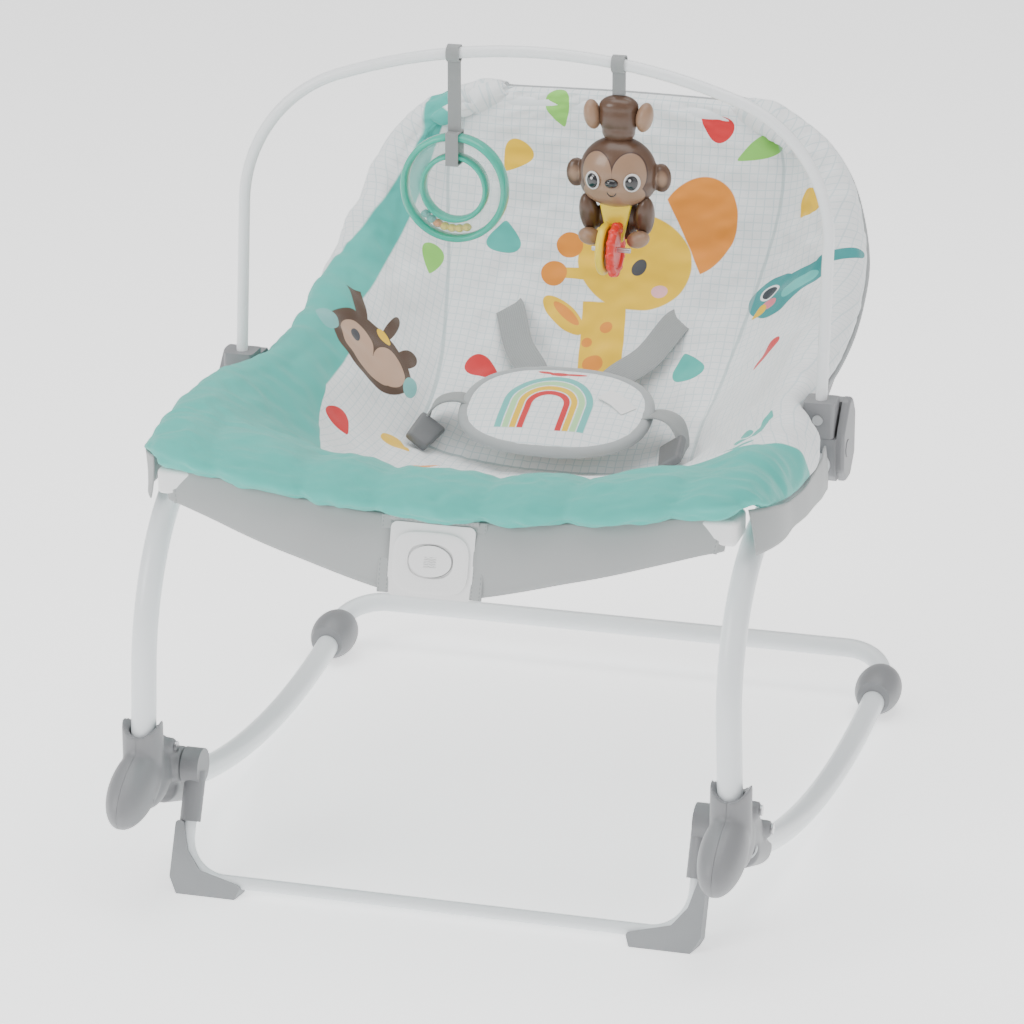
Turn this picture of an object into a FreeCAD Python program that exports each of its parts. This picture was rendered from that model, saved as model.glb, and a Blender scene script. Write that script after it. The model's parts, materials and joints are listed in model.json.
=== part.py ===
import FreeCAD, Part
import Sketcher
import math
import os

# Infant-to-toddler rocker: a sling seat on a bent-tube rocking base, with a fold-out
# kickstand, a reclining back, a lift-off toy bar and a vibration unit in the front skirt.
# X runs across the seat, Y towards the head end and Z up from the floor.

os.makedirs("parts", exist_ok=True)
doc = FreeCAD.newDocument("infant_rocker")
sheet = doc.addObject("Spreadsheet::Sheet", "Sizes")

SIZES = {
    "tube_radius": 9.5, "tube_wall": 1.2, "fit_gap": 0.2, "move_gap": 0.4,
    "leg_foot_x": 226, "leg_top_x": 219, "leg_bend": 128, "leg_low": 96,
    "seat_height": 318, "rail_end_x": 233, "rail_end_y": 253, "rail_end_z": 297,
    "rocker_radius": 880, "rocker_low_y": 361, "rocker_front_y": 34, "rocker_rear_y": 486,
    "rocker_front_x": 229, "rocker_rear_x": 237,
    "rear_tube_radius": 8, "rear_tube_y": 540, "rear_tube_z": 37, "rear_start_y": 489,
    "rear_start_z": 21, "rear_bend": 36,
    "connector_y": 496, "connector_z": 20.2, "connector_length": 62, "connector_width": 38,
    "connector_height": 39,
    "hub_half": 16, "hub_top": 135, "hub_nose": 62, "hub_tail": 88, "hub_base": 60,
    "boss_radius": 14, "boss_step": 4,
    "kick_y": 36, "kick_z": 86, "kick_reach": 84, "kick_lean": 23.8, "kick_x": 197,
    "kick_tube_radius": 5, "kick_bend": 32, "collar_width": 14, "socket_radius": 8, "socket_length": 42,
    "foot_width": 15, "foot_toe": 44, "foot_rise": 42, "foot_corner": 3,
    "front_tube_radius": 6.5, "front_tube_y": 28, "front_tube_z": 314, "front_end_y": 42,
    "front_end_z": 314, "front_end_x": 199,
    "hinge_y": 264, "hinge_z": 303, "hinge_pin_radius": 5, "pin_reach": 4,
    "housing_in": 220, "housing_out": 246,
    "housing_front": 247, "housing_back": 293, "housing_low": 283, "housing_step": 318,
    "housing_high": 341, "cover_thick": 6, "button_radius": 6.5,
    "arm_in": 206, "arm_radius": 20, "arm_socket_radius": 11, "arm_socket_length": 110,
    "back_tube_radius": 8, "back_start_x": 210, "back_knee_x": 207, "back_knee_y": 495,
    "back_knee_z": 363, "back_top_x": 189, "back_top_y": 540, "back_top_z": 488,
    "knee_bend": 98, "corner_bend": 84,
    "arch_half": 232, "arch_y": 259, "arch_base_z": 346, "arch_rise": 249, "arch_crown": 480,
    "arch_shoulder": 110, "arch_lean": 6, "arch_foot": 20, "arch_bar_radius": 4.5, "plug_size": 24,
    "tongue_size": 14, "tongue_depth": 10,
    "case_width": 64, "case_height": 54, "case_front": 12, "case_back": 26, "case_wall": 2,
    "case_y": 1, "case_z": 282, "case_lean": 16, "switch_width": 32, "switch_height": 23,
    "battery_radius": 10, "battery_length": 44, "motor_radius": 7,
    "motor_length": 18, "shaft_radius": 1, "weight_radius": 6,
    "skirt_thick": 3, "pad_thick": 14, "back_pad_thick": 14,
    "crotch_width": 154, "crotch_length": 104, "crotch_thick": 16, "crotch_y": 346, "crotch_z": 287,
    "crotch_tilt": 21, "webbing_width": 24, "webbing_thick": 1.6,
    "toy_x": 65, "toy_strap_width": 10, "toy_strap_thick": 1.2, "loop_slack": 1.2,
    "ring_radius": 43, "ring_hole": 23, "ring_depth": 14, "ring_drop": 106,
    "monkey_head": 60, "spinner_radius": 17, "spinner_tube": 3.2, "rod_radius": 2,
    "screw_radius": 4, "screw_head": 1.5,
}
for row, (alias, value) in enumerate(SIZES.items(), start=1):
    sheet.set(f"A{row}", alias)
    sheet.set(f"B{row}", str(value))
    sheet.setAlias(f"B{row}", alias)
doc.recompute()

SIDES = (("left", -1), ("right", 1))
exported = []


def size(alias):
    return float(sheet.get(alias))


def vec(x, y, z):
    return FreeCAD.Vector(x, y, z)


# The origin is on the floor under the middle of the length, between the nose of the front
# hubs and the back of the rear tube.
MIDDLE = (size("rear_tube_y") + size("rear_tube_radius") - size("hub_nose")) / 2
MIDDLE_EXPRESSION = "-(Sizes.rear_tube_y + Sizes.rear_tube_radius - Sizes.hub_nose) / 2"
TO_ORIGIN = FreeCAD.Placement(vec(0, -MIDDLE, 0), FreeCAD.Rotation())


def turn_x(degrees):
    return FreeCAD.Rotation(vec(1, 0, 0), degrees)


def keep(item, label):
    item.Label = label
    exported.append(item)
    return item


def shape_part(label, shape, placement=TO_ORIGIN):
    item = doc.addObject("Part::Feature", label)
    item.Shape = shape
    item.Placement = placement
    return keep(item, label)


def moved(shape, placement):
    copy = shape.copy()
    copy.Placement = placement.multiply(copy.Placement)
    return copy


# ---- wires and tubes ----

def bent_wire(points, bends):
    """Straight runs through the points, with an arc of the given radius at each inner point."""
    edges = []
    start = points[0]
    for before, corner, after, bend in zip(points, points[1:], points[2:], bends):
        towards = (before - corner).normalize()
        away = (after - corner).normalize()
        half_turn = (math.pi - towards.getAngle(away)) / 2
        setback = bend * math.tan(half_turn)
        first = corner + towards * setback
        last = corner + away * setback
        middle = (towards + away).normalize()
        crown = corner + middle * (bend / math.cos(half_turn) - bend)
        if start.distanceToPoint(first) > 1e-6:
            edges.append(Part.LineSegment(start, first).toShape())
        edges.append(Part.Arc(first, crown, last).toShape())
        start = last
    edges.append(Part.LineSegment(start, points[-1]).toShape())
    return Part.Wire(edges)


def rod_along(wire, radius):
    first = wire.Edges[0]
    start = first.valueAt(first.FirstParameter)
    heading = first.tangentAt(first.FirstParameter)
    ring = Part.Wire(Part.makeCircle(radius, start, heading))
    return wire.makePipeShell([ring], True, False)


def tube_along(wire, radius, wall):
    return rod_along(wire, radius).cut(rod_along(wire, radius - wall))


def cylinder(radius, start, end):
    axis = end - start
    return Part.makeCylinder(radius, axis.Length, start, axis)


# ---- PartDesign helpers ----

def new_body(label):
    body = doc.addObject("PartDesign::Body", label)
    return keep(body, label)


def origin_plane(body, role):
    return next(item for item in body.Origin.OriginFeatures if item.Role == role)


def outline_sketch(body, name, role, offset, corners):
    """A closed sketch whose corners are tied to the sheet by an expression each way."""
    sketch = body.newObject("Sketcher::SketchObject", name)
    sketch.AttachmentSupport = [(origin_plane(body, role), "")]
    sketch.MapMode = "FlatFace"
    sketch.setExpression("AttachmentOffset.Base.z", offset)
    count = len(corners)
    spots = [vec(50 * math.cos(2 * math.pi * i / count), 50 * math.sin(2 * math.pi * i / count), 0)
             for i in range(count)]
    for i in range(count):
        sketch.addGeometry(Part.LineSegment(spots[i], spots[(i + 1) % count]), False)
    for i in range(count):
        sketch.addConstraint(Sketcher.Constraint("Coincident", i, 2, (i + 1) % count, 1))
    for i, (across, up) in enumerate(corners):
        for kind, expression in (("DistanceX", across), ("DistanceY", up)):
            index = sketch.addConstraint(Sketcher.Constraint(kind, -1, 1, i, 1, 1.0))
            sketch.setExpression(f"Constraints[{index}]", expression)
    return sketch


def circle_sketch(body, name, role, offset, across, up, radius):
    sketch = body.newObject("Sketcher::SketchObject", name)
    sketch.AttachmentSupport = [(origin_plane(body, role), "")]
    sketch.MapMode = "FlatFace"
    sketch.setExpression("AttachmentOffset.Base.z", offset)
    sketch.addGeometry(Part.Circle(vec(0, 0, 0), vec(0, 0, 1), 5), False)
    for constraint, expression in (
            (Sketcher.Constraint("DistanceX", -1, 1, 0, 3, 1.0), across),
            (Sketcher.Constraint("DistanceY", -1, 1, 0, 3, 1.0), up),
            (Sketcher.Constraint("Radius", 0, 5.0), radius)):
        index = sketch.addConstraint(constraint)
        sketch.setExpression(f"Constraints[{index}]", expression)
    return sketch


def pad(body, name, sketch, length):
    feature = body.newObject("PartDesign::Pad", name)
    feature.Profile = sketch
    feature.setExpression("Length", length)
    doc.recompute()
    return feature


def edges_where(feature, test):
    return [f"Edge{i}" for i, edge in enumerate(feature.Shape.Edges, start=1) if test(edge)]


def along_x(edge):
    ends = [vertex.Point for vertex in edge.Vertexes]
    return len(ends) == 2 and abs(ends[0].y - ends[1].y) + abs(ends[0].z - ends[1].z) < 1e-6


def round_edges(body, name, feature, test, radius):
    rounded = body.newObject("PartDesign::Fillet", name)
    rounded.Base = (feature, edges_where(feature, test))
    rounded.Radius = radius
    doc.recompute()
    return rounded


def bore(body, name, radius, start, end):
    """A round hole between two points, taken out of the body so far."""
    axis = end - start
    hole = body.newObject("PartDesign::SubtractiveCylinder", name)
    hole.setExpression("Radius", radius)
    hole.Height = axis.Length
    hole.Placement = FreeCAD.Placement(start, FreeCAD.Rotation(vec(0, 0, 1), axis))
    doc.recompute()
    return hole


def place_body(body, placement=TO_ORIGIN):
    body.Placement = placement
    body.setExpression("Placement.Base.y", MIDDLE_EXPRESSION)


# ---- Side frames: leg and seat rail in one bent tube, rocker rail, rear tube ----

def rocker_height(y):
    return size("tube_radius") + (y - size("rocker_low_y")) ** 2 / (2 * size("rocker_radius"))


def rocker_x(y):
    share = (y - size("rocker_front_y")) / (size("rocker_rear_y") - size("rocker_front_y"))
    return size("rocker_front_x") + share * (size("rocker_rear_x") - size("rocker_front_x"))


def rocker_point(side, y):
    return vec(side * rocker_x(y), y, rocker_height(y))


def rail_curve(side):
    ends = size("rocker_front_y"), size("rocker_rear_y")
    return Part.Arc(rocker_point(side, ends[0]), rocker_point(side, sum(ends) / 2),
                    rocker_point(side, ends[1]))


def rail_room(side):
    """The space that a rocker rail's front end takes in its hub, with a little room all round."""
    curve = rail_curve(side).toShape()
    start = rocker_point(side, size("rocker_front_y"))
    at_front = curve.valueAt(curve.FirstParameter).distanceToPoint(start) < 1
    ahead = curve.tangentAt(curve.FirstParameter if at_front else curve.LastParameter)
    if ahead.y > 0:
        ahead = -ahead
    lead_in = Part.LineSegment(start + ahead * size("move_gap"), start).toShape()
    return rod_along(Part.Wire([lead_in, curve]), size("tube_radius") + size("fit_gap"))


def leg_points(side):
    return [vec(side * size("leg_foot_x"), 0, size("leg_low")),
            vec(side * size("leg_top_x"), 0, size("seat_height")),
            vec(side * size("rail_end_x"), size("rail_end_y"), size("rail_end_z"))]


for name, side in SIDES:
    leg = tube_along(bent_wire(leg_points(side), [size("leg_bend")]), size("tube_radius"), size("tube_wall"))
    shape_part(f"leg_tube_{name}", leg)
    shape_part(f"rocker_rail_{name}",
               tube_along(Part.Wire([rail_curve(side).toShape()]), size("tube_radius"), size("tube_wall")))

rear_points = [vec(-size("rocker_rear_x"), size("rear_start_y"), size("rear_start_z")),
               vec(-size("rocker_rear_x"), size("rear_tube_y"), size("rear_tube_z")),
               vec(size("rocker_rear_x"), size("rear_tube_y"), size("rear_tube_z")),
               vec(size("rocker_rear_x"), size("rear_start_y"), size("rear_start_z"))]
rear_wire = bent_wire(rear_points, [size("rear_bend")] * 2)
shape_part("rear_tube", tube_along(rear_wire, size("rear_tube_radius"), size("tube_wall")))

# Egg-shaped sleeves join the rocker rails to the rear tube.
for name, side in SIDES:
    egg = doc.addObject("Part::Ellipsoid", f"connector_egg_{name}")
    egg.setExpression("Radius1", "Sizes.connector_height / 2")
    egg.setExpression("Radius2", "Sizes.connector_length / 2")
    egg.setExpression("Radius3", "Sizes.connector_width / 2")
    egg.Placement = FreeCAD.Placement(
        vec(side * size("rocker_rear_x"), size("connector_y"), size("connector_z")),
        FreeCAD.Rotation(vec(0, 0, 1), 90))
    mouth = doc.addObject("Part::Box", f"connector_mouth_{name}")
    mouth.setExpression("Length", "Sizes.connector_width * 2")
    mouth.setExpression("Width", "Sizes.connector_length")
    mouth.setExpression("Height", "Sizes.connector_height * 2")
    mouth_y = size("connector_y") - 0.35 * size("connector_length")
    mouth.Placement.Base = vec(side * size("rocker_rear_x") - size("connector_width"),
                               mouth_y - size("connector_length"), -size("connector_height") / 2)
    rail_y = size("rocker_rear_y") + size("move_gap")
    slope = rocker_point(side, rail_y) - rocker_point(side, rail_y - 1)
    rail_bore = doc.addObject("Part::Cylinder", f"connector_rail_bore_{name}")
    rail_bore.setExpression("Radius", "Sizes.tube_radius + Sizes.fit_gap")
    rail_bore.setExpression("Height", "Sizes.connector_length")
    rail_bore.Placement = FreeCAD.Placement(rocker_point(side, rail_y),
                                            FreeCAD.Rotation(vec(0, 0, 1), -slope))
    rear_bore = doc.addObject("Part::Feature", f"connector_rear_bore_{name}")
    rear_bore.Shape = rod_along(rear_wire, size("rear_tube_radius") + size("fit_gap"))
    connector = egg
    for tool, label in ((mouth, f"connector_open_{name}"), (rail_bore, f"connector_bored_{name}"),
                        (rear_bore, f"rear_connector_{name}")):
        cut = doc.addObject("Part::Cut", label)
        cut.Base = connector
        cut.Tool = tool
        connector = cut
    connector.setExpression("Placement.Base.y", MIDDLE_EXPRESSION)
    keep(connector, f"rear_connector_{name}")

# ---- Front hubs: two half shells clamped round the leg foot and the rocker's front end ----

HUB = [("-17", "Sizes.hub_top"), ("17", "Sizes.hub_top"), ("42", "Sizes.hub_top - 23"),
       ("Sizes.hub_tail - 12", "Sizes.hub_top - 49"), ("Sizes.hub_tail", "Sizes.hub_base + 8"),
       ("Sizes.hub_tail - 8", "Sizes.hub_base - 20"), ("40", "Sizes.hub_base - 10"),
       ("0", "Sizes.hub_base"), ("-36", "Sizes.hub_base + 8"), ("4 - Sizes.hub_nose", "Sizes.hub_base + 20"),
       ("-Sizes.hub_nose", "Sizes.hub_base + 37"), ("-40", "Sizes.hub_top - 20")]
HUB_BOLTS = ((27, 104), (66, 73))
rail_rooms = {}
for name, side in SIDES:
    rail_rooms[name] = doc.addObject("Part::Feature", f"rail_room_{name}")
    rail_rooms[name].Shape = rail_room(side)

for name, side in SIDES:
    for shell, outward in (("outer", 1), ("inner", -1)):
        label = f"front_hub_{shell}_{name}"
        body = doc.addObject("PartDesign::Body", f"{label}_shell")
        low = "0" if outward * side > 0 else "-Sizes.hub_half"
        seam = f"{side} * Sizes.leg_foot_x + {low}"
        outline = outline_sketch(body, f"{label}_outline", "YZ_Plane", seam, HUB)
        block = pad(body, f"{label}_block", outline, "Sizes.hub_half")
        face_x = side * (size("leg_foot_x") + outward * size("hub_half"))
        corners = round_edges(body, f"{label}_corners", block, along_x, 7)
        rim = [vertex.Point.x for vertex in corners.Shape.Vertexes]
        assert min(abs(x - face_x) for x in rim) < 1e-6
        round_edges(body, f"{label}_rim", corners,
                    lambda edge: all(abs(v.Point.x - face_x) < 1e-6 for v in edge.Vertexes), 6)
        if shell == "inner":
            boss_offset = f"{side} * Sizes.leg_foot_x + " + (
                "-Sizes.hub_half - Sizes.boss_step" if side > 0 else "Sizes.hub_half - 1")
            ring = circle_sketch(body, f"{label}_boss_ring", "YZ_Plane", boss_offset,
                                 "Sizes.kick_y", "Sizes.kick_z", "Sizes.boss_radius")
            pad(body, f"{label}_boss", ring, "Sizes.boss_step + 1")
        foot = leg_points(side)[0]
        knee = leg_points(side)[1]
        leg_axis = (knee - foot).normalize()
        bore(body, f"{label}_leg_bore", "Sizes.tube_radius + Sizes.fit_gap",
             foot - leg_axis * size("move_gap"), foot + leg_axis * 60)
        if shell == "inner":
            bore(body, f"{label}_pivot_bore", "Sizes.hinge_pin_radius + 0.05",
                 vec(side * (size("leg_foot_x") - size("hub_half") - size("boss_step") - 1),
                     size("kick_y"), size("kick_z")),
                 vec(side * (size("leg_foot_x") - 9), size("kick_y"), size("kick_z")))
        bored = doc.addObject("Part::Cut", label)
        bored.Base = body
        bored.Tool = rail_rooms[name]
        bored.setExpression("Placement.Base.y", MIDDLE_EXPRESSION)
        keep(bored, label)

# ---- Kickstand: bent wire, pivot sockets and rubber corner feet ----

KICK_PIVOT = vec(0, size("kick_y"), size("kick_z"))
KICK_DOWN = vec(0, -math.sin(math.radians(size("kick_lean"))), -math.cos(math.radians(size("kick_lean"))))


def kick_point(x, down):
    return KICK_PIVOT + KICK_DOWN * down + vec(x, 0, 0)


wire_top = 16
kick_points = [kick_point(-size("kick_x"), wire_top), kick_point(-size("kick_x"), size("kick_reach")),
               kick_point(size("kick_x"), size("kick_reach")), kick_point(size("kick_x"), wire_top)]
kick_wire = bent_wire(kick_points, [size("kick_bend")] * 2)
kick_rod = rod_along(kick_wire, size("kick_tube_radius"))
shape_part("kickstand_tube", tube_along(kick_wire, size("kick_tube_radius"), 1))

COLLAR_OUT = size("leg_foot_x") - size("hub_half") - size("boss_step") - size("move_gap")
for name, side in SIDES:
    inner = vec(side * (COLLAR_OUT - size("collar_width")), size("kick_y"), size("kick_z"))
    outer = vec(side * COLLAR_OUT, size("kick_y"), size("kick_z"))
    collar = cylinder(size("boss_radius"), inner, outer)
    stub = cylinder(size("socket_radius"), kick_point(side * size("kick_x"), 4),
                    kick_point(side * size("kick_x"), size("socket_length")))
    pin = cylinder(size("hinge_pin_radius"), outer - vec(side, 0, 0),
                   outer + vec(side * (size("boss_step") + 7), 0, 0))
    hole = cylinder(size("kick_tube_radius") + size("fit_gap"),
                    kick_point(side * size("kick_x"), wire_top - size("move_gap")),
                    kick_point(side * size("kick_x"), size("socket_length") + 5))
    shape_part(f"kickstand_socket_{name}", collar.fuse([stub, pin]).removeSplitter().cut(hole))
    toe = size("kick_x") - size("foot_toe")
    reach = size("kick_reach")
    rise = reach - size("foot_rise")
    heel = size("kick_x") + 9
    corners = [(heel, rise), (heel, reach + 1), (heel - 7, reach + 14), (toe, reach + 14),
               (toe - 4, reach + 3), (toe + 6, reach), (size("kick_x") - 14, reach - 6),
               (size("kick_x") - 3, reach - 20), (size("kick_x") + 3, rise)]
    spots = [kick_point(side * x, down) for x, down in corners]
    normal = KICK_DOWN.cross(vec(1, 0, 0)).normalize()
    sheet_face = Part.Face(Part.makePolygon([p - normal * size("foot_width") / 2 for p in spots + spots[:1]]))
    foot = sheet_face.extrude(normal * size("foot_width"))
    foot = foot.makeFillet(size("foot_corner"), [edge for edge in foot.Edges
                                                 if abs(edge.Curve.Direction.dot(normal)) > 0.99])
    below = Part.makeBox(600, 200, 60, vec(-300, -100, -60))
    shape_part(f"kickstand_foot_{name}", foot.cut(below).cut(kick_rod))

# ---- Seat front: cross tube and the two white corner sleeves ----

front_points = [vec(-size("front_end_x"), size("front_end_y"), size("front_end_z")),
                vec(-size("front_end_x") / 3, size("front_tube_y"), size("front_tube_z")),
                vec(size("front_end_x") / 3, size("front_tube_y"), size("front_tube_z")),
                vec(size("front_end_x"), size("front_end_y"), size("front_end_z"))]
front_wire = bent_wire(front_points, [300, 300])
front_rod = rod_along(front_wire, size("front_tube_radius"))
shape_part("front_cross_tube", tube_along(front_wire, size("front_tube_radius"), size("tube_wall")))

for name, side in SIDES:
    leg_rod = rod_along(bent_wire(leg_points(side), [size("leg_bend")]), size("tube_radius") + 0.1)
    block = Part.makeBox(30, 34, 20)
    block = moved(block, FreeCAD.Placement(
        vec(side * (size("front_end_x") + 6) - 15, size("front_end_y") - 14, size("front_end_z") - 10),
        FreeCAD.Rotation()))
    end_bore = cylinder(size("front_tube_radius") + 0.1, front_points[2 if side > 0 else 1],
                        front_points[3 if side > 0 else 0] + vec(side * 0.2, 0, 0))
    sleeve = block.makeFillet(4, block.Edges).cut(leg_rod).cut(end_bore)
    sleeve = max(sleeve.Solids, key=lambda solid: solid.Volume)
    shape_part(f"corner_sleeve_{name}", sleeve)

# ---- Recline hubs ----

HINGE = vec(0, size("hinge_y"), size("hinge_z"))
HOUSING = [("Sizes.housing_front", "Sizes.housing_step"), ("Sizes.housing_front", "Sizes.housing_low + 6"),
           ("Sizes.housing_front + 6", "Sizes.housing_low"), ("Sizes.housing_back - 10", "Sizes.housing_low"),
           ("Sizes.housing_back", "Sizes.housing_low + 10"),
           ("Sizes.housing_back", "Sizes.housing_high - 10"),
           ("Sizes.housing_back - 8", "Sizes.housing_high"),
           ("Sizes.housing_front + Sizes.plug_size + Sizes.fit_gap", "Sizes.housing_high"),
           ("Sizes.housing_front + Sizes.plug_size + Sizes.fit_gap", "Sizes.housing_step")]
COVER = [("Sizes.housing_front + 4", "Sizes.housing_low + 8"),
         ("Sizes.housing_front + 16", "Sizes.housing_low - 3"),
         ("Sizes.housing_back - 14", "Sizes.housing_low - 3"),
         ("Sizes.housing_back + 1", "Sizes.housing_low + 12"),
         ("Sizes.housing_back + 1", "Sizes.housing_high - 12"),
         ("Sizes.housing_back - 10", "Sizes.housing_high + 2"),
         ("Sizes.housing_back - 22", "Sizes.housing_high + 2"),
         ("Sizes.housing_front + 4", "Sizes.housing_step + 4")]

for name, side in SIDES:
    label = f"recline_housing_{name}"
    body = new_body(label)
    start = "Sizes.housing_in" if side > 0 else "-Sizes.housing_out"
    outline = outline_sketch(body, f"{label}_outline", "YZ_Plane", start, HOUSING)
    block = pad(body, f"{label}_block", outline, "Sizes.housing_out - Sizes.housing_in")
    round_edges(body, f"{label}_corners", block,
                lambda edge: along_x(edge) and edge.Vertexes[0].Point.z < size("housing_step") - 1, 4)
    rail_end = leg_points(side)[2]
    rail_dir = (rail_end - leg_points(side)[1]).normalize()
    bore(body, f"{label}_rail_bore", "Sizes.tube_radius + Sizes.fit_gap",
         rail_end - rail_dir * 30, rail_end + rail_dir * size("move_gap"))
    bore(body, f"{label}_pivot_bore", "Sizes.hinge_pin_radius + 0.05",
         HINGE + vec(side * (size("housing_in") - 1), 0, 0),
         HINGE + vec(side * (size("housing_in") + size("pin_reach") + size("move_gap")), 0, 0))
    socket = outline_sketch(body, f"{label}_socket", "XY_Plane", "Sizes.housing_step", [
        (f"{side} * Sizes.arch_half + {dx} * (Sizes.tongue_size / 2 + Sizes.fit_gap)",
         f"Sizes.arch_y + {dy} * (Sizes.tongue_size / 2 + Sizes.fit_gap)")
        for dx, dy in ((-1, -1), (1, -1), (1, 1), (-1, 1))])
    pocket = body.newObject("PartDesign::Pocket", f"{label}_pocket")
    pocket.Profile = socket
    pocket.setExpression("Length", "Sizes.tongue_depth + Sizes.move_gap")
    doc.recompute()
    bore(body, f"{label}_button_bore", "Sizes.button_radius + Sizes.move_gap",
         HINGE + vec(side * (size("housing_out") - 6), 0, 4),
         HINGE + vec(side * (size("housing_out") + 1), 0, 4))
    place_body(body)

    label = f"recline_cover_{name}"
    body = new_body(label)
    start = "Sizes.housing_out" if side > 0 else "-Sizes.housing_out - Sizes.cover_thick"
    outline = outline_sketch(body, f"{label}_outline", "YZ_Plane", start, COVER)
    plate = pad(body, f"{label}_plate", outline, "Sizes.cover_thick")
    corners = round_edges(body, f"{label}_corners", plate, along_x, 8)
    face_x = side * (size("housing_out") + size("cover_thick"))
    round_edges(body, f"{label}_rim", corners,
                lambda edge: all(abs(v.Point.x - face_x) < 1e-6 for v in edge.Vertexes), 3)
    bore(body, f"{label}_button_bore", "Sizes.button_radius + Sizes.move_gap",
         HINGE + vec(side * (size("housing_out") - 1), 0, 4),
         HINGE + vec(side * (size("housing_out") + size("cover_thick") + 1), 0, 4))
    place_body(body)

    button = doc.addObject("Part::Cylinder", f"recline_button_{name}")
    button.setExpression("Radius", "Sizes.button_radius")
    button.setExpression("Height", "Sizes.cover_thick + 2")
    button.Placement = FreeCAD.Placement(
        HINGE + vec(side * (size("housing_out") - 1.5), -MIDDLE, 4),
        FreeCAD.Rotation(vec(0, 0, 1), vec(side, 0, 0)))
    keep(button, f"recline_button_{name}")

# ---- Backrest frame: bent tube and the two plastic arms that carry it ----

ARM_SLOPE = (vec(0, size("back_knee_y"), size("back_knee_z")) - HINGE).normalize()
back_points = [HINGE + ARM_SLOPE * 26 + vec(-size("back_start_x"), 0, 0),
               vec(-size("back_knee_x"), size("back_knee_y"), size("back_knee_z")),
               vec(-size("back_top_x"), size("back_top_y"), size("back_top_z")),
               vec(size("back_top_x"), size("back_top_y"), size("back_top_z")),
               vec(size("back_knee_x"), size("back_knee_y"), size("back_knee_z")),
               HINGE + ARM_SLOPE * 26 + vec(size("back_start_x"), 0, 0)]
back_bends = [size("knee_bend"), size("corner_bend"), size("corner_bend"), size("knee_bend")]
back_wire = bent_wire(back_points, back_bends)
shape_part("back_tube", tube_along(back_wire, size("back_tube_radius"), size("tube_wall")))

for name, side in SIDES:
    start = back_points[5 if side > 0 else 0]
    towards = (back_points[4 if side > 0 else 1] - start).normalize()
    disc = cylinder(size("arm_radius"), HINGE + vec(side * size("arm_in"), 0, 0),
                    HINGE + vec(side * (size("housing_in") - size("move_gap")), 0, 0))
    socket = cylinder(size("arm_socket_radius"), start - towards * 14,
                      start + towards * (size("arm_socket_length") - 26))
    pin = cylinder(size("hinge_pin_radius"), HINGE + vec(side * (size("arm_in") + 2), 0, 0),
                   HINGE + vec(side * (size("housing_in") + size("pin_reach")), 0, 0))
    hole = cylinder(size("back_tube_radius") + size("fit_gap"), start - towards * size("move_gap"),
                    start + towards * size("arm_socket_length"))
    clear = Part.makeBox(20, 200, 200, vec(size("housing_in") - size("move_gap") if side > 0
                                            else -size("housing_in") + size("move_gap") - 20, 200, 220))
    shape_part(f"back_arm_{name}", disc.fuse(socket).cut(clear).cut(pin).cut(hole))
    shape_part(f"recline_pin_{name}", pin.cut(hole))

# ---- Toy bar: arch, plugs and screws ----

LEAN = turn_x(-size("arch_lean"))
ARCH_BASE = vec(0, size("arch_y"), size("arch_base_z"))
shoulder = size("arch_shoulder")
crown = size("arch_crown")
crown_z = size("arch_rise") - crown
shoulder_x = size("arch_half") - shoulder
shoulder_z = crown_z + math.sqrt((crown - shoulder) ** 2 - shoulder_x ** 2)
blend = math.atan2(shoulder_x, shoulder_z - crown_z)


def arch_point(x, z):
    return vec(x, 0, z)


def polar(center_x, center_z, radius, angle):
    return vec(center_x + radius * math.sin(angle), 0, center_z + radius * math.cos(angle))


left_turn = Part.Arc(arch_point(-size("arch_half"), shoulder_z),
                     polar(-shoulder_x, shoulder_z, shoulder, -(math.pi / 2 + blend) / 2),
                     polar(0, crown_z, crown, -blend))
top_turn = Part.Arc(polar(0, crown_z, crown, -blend), polar(0, crown_z, crown, 0),
                    polar(0, crown_z, crown, blend))
right_turn = Part.Arc(polar(0, crown_z, crown, blend),
                      polar(shoulder_x, shoulder_z, shoulder, (math.pi / 2 + blend) / 2),
                      arch_point(size("arch_half"), shoulder_z))
left_leg = Part.LineSegment(arch_point(-size("arch_half"), -size("arch_foot")),
                            arch_point(-size("arch_half"), shoulder_z))
right_leg = Part.LineSegment(arch_point(size("arch_half"), shoulder_z),
                             arch_point(size("arch_half"), -size("arch_foot")))
arch_wire = Part.Wire([run.toShape() for run in (left_leg, left_turn, top_turn, right_turn, right_leg)])
ARCH_PLACE = FreeCAD.Placement(ARCH_BASE - vec(0, MIDDLE, 0), LEAN)
shape_part("toy_bar_arch", rod_along(arch_wire, size("arch_bar_radius")), ARCH_PLACE)

for name, side in SIDES:
    half = size("plug_size") / 2
    tongue = size("tongue_size") / 2
    plug_low = size("housing_step") + size("fit_gap")
    shell = Part.makeBox(2 * half, 2 * half, size("arch_base_z") - plug_low,
                         vec(side * size("arch_half") - half, size("arch_y") - half, plug_low))
    shell = shell.makeFillet(3, [edge for edge in shell.Edges if abs(edge.tangentAt(0).z) > 0.9])
    key = Part.makeBox(2 * tongue, 2 * tongue, size("tongue_depth") + 1,
                       vec(side * size("arch_half") - tongue, size("arch_y") - tongue,
                           plug_low - size("tongue_depth")))
    plug = moved(shell.fuse(key), TO_ORIGIN)
    bar = cylinder(size("arch_bar_radius") + size("fit_gap"),
                   arch_point(side * size("arch_half"), -size("arch_foot") - size("move_gap")),
                   arch_point(side * size("arch_half"), 10))
    shape_part(f"toy_bar_plug_{name}", plug.cut(moved(bar, ARCH_PLACE)), FreeCAD.Placement())

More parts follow.
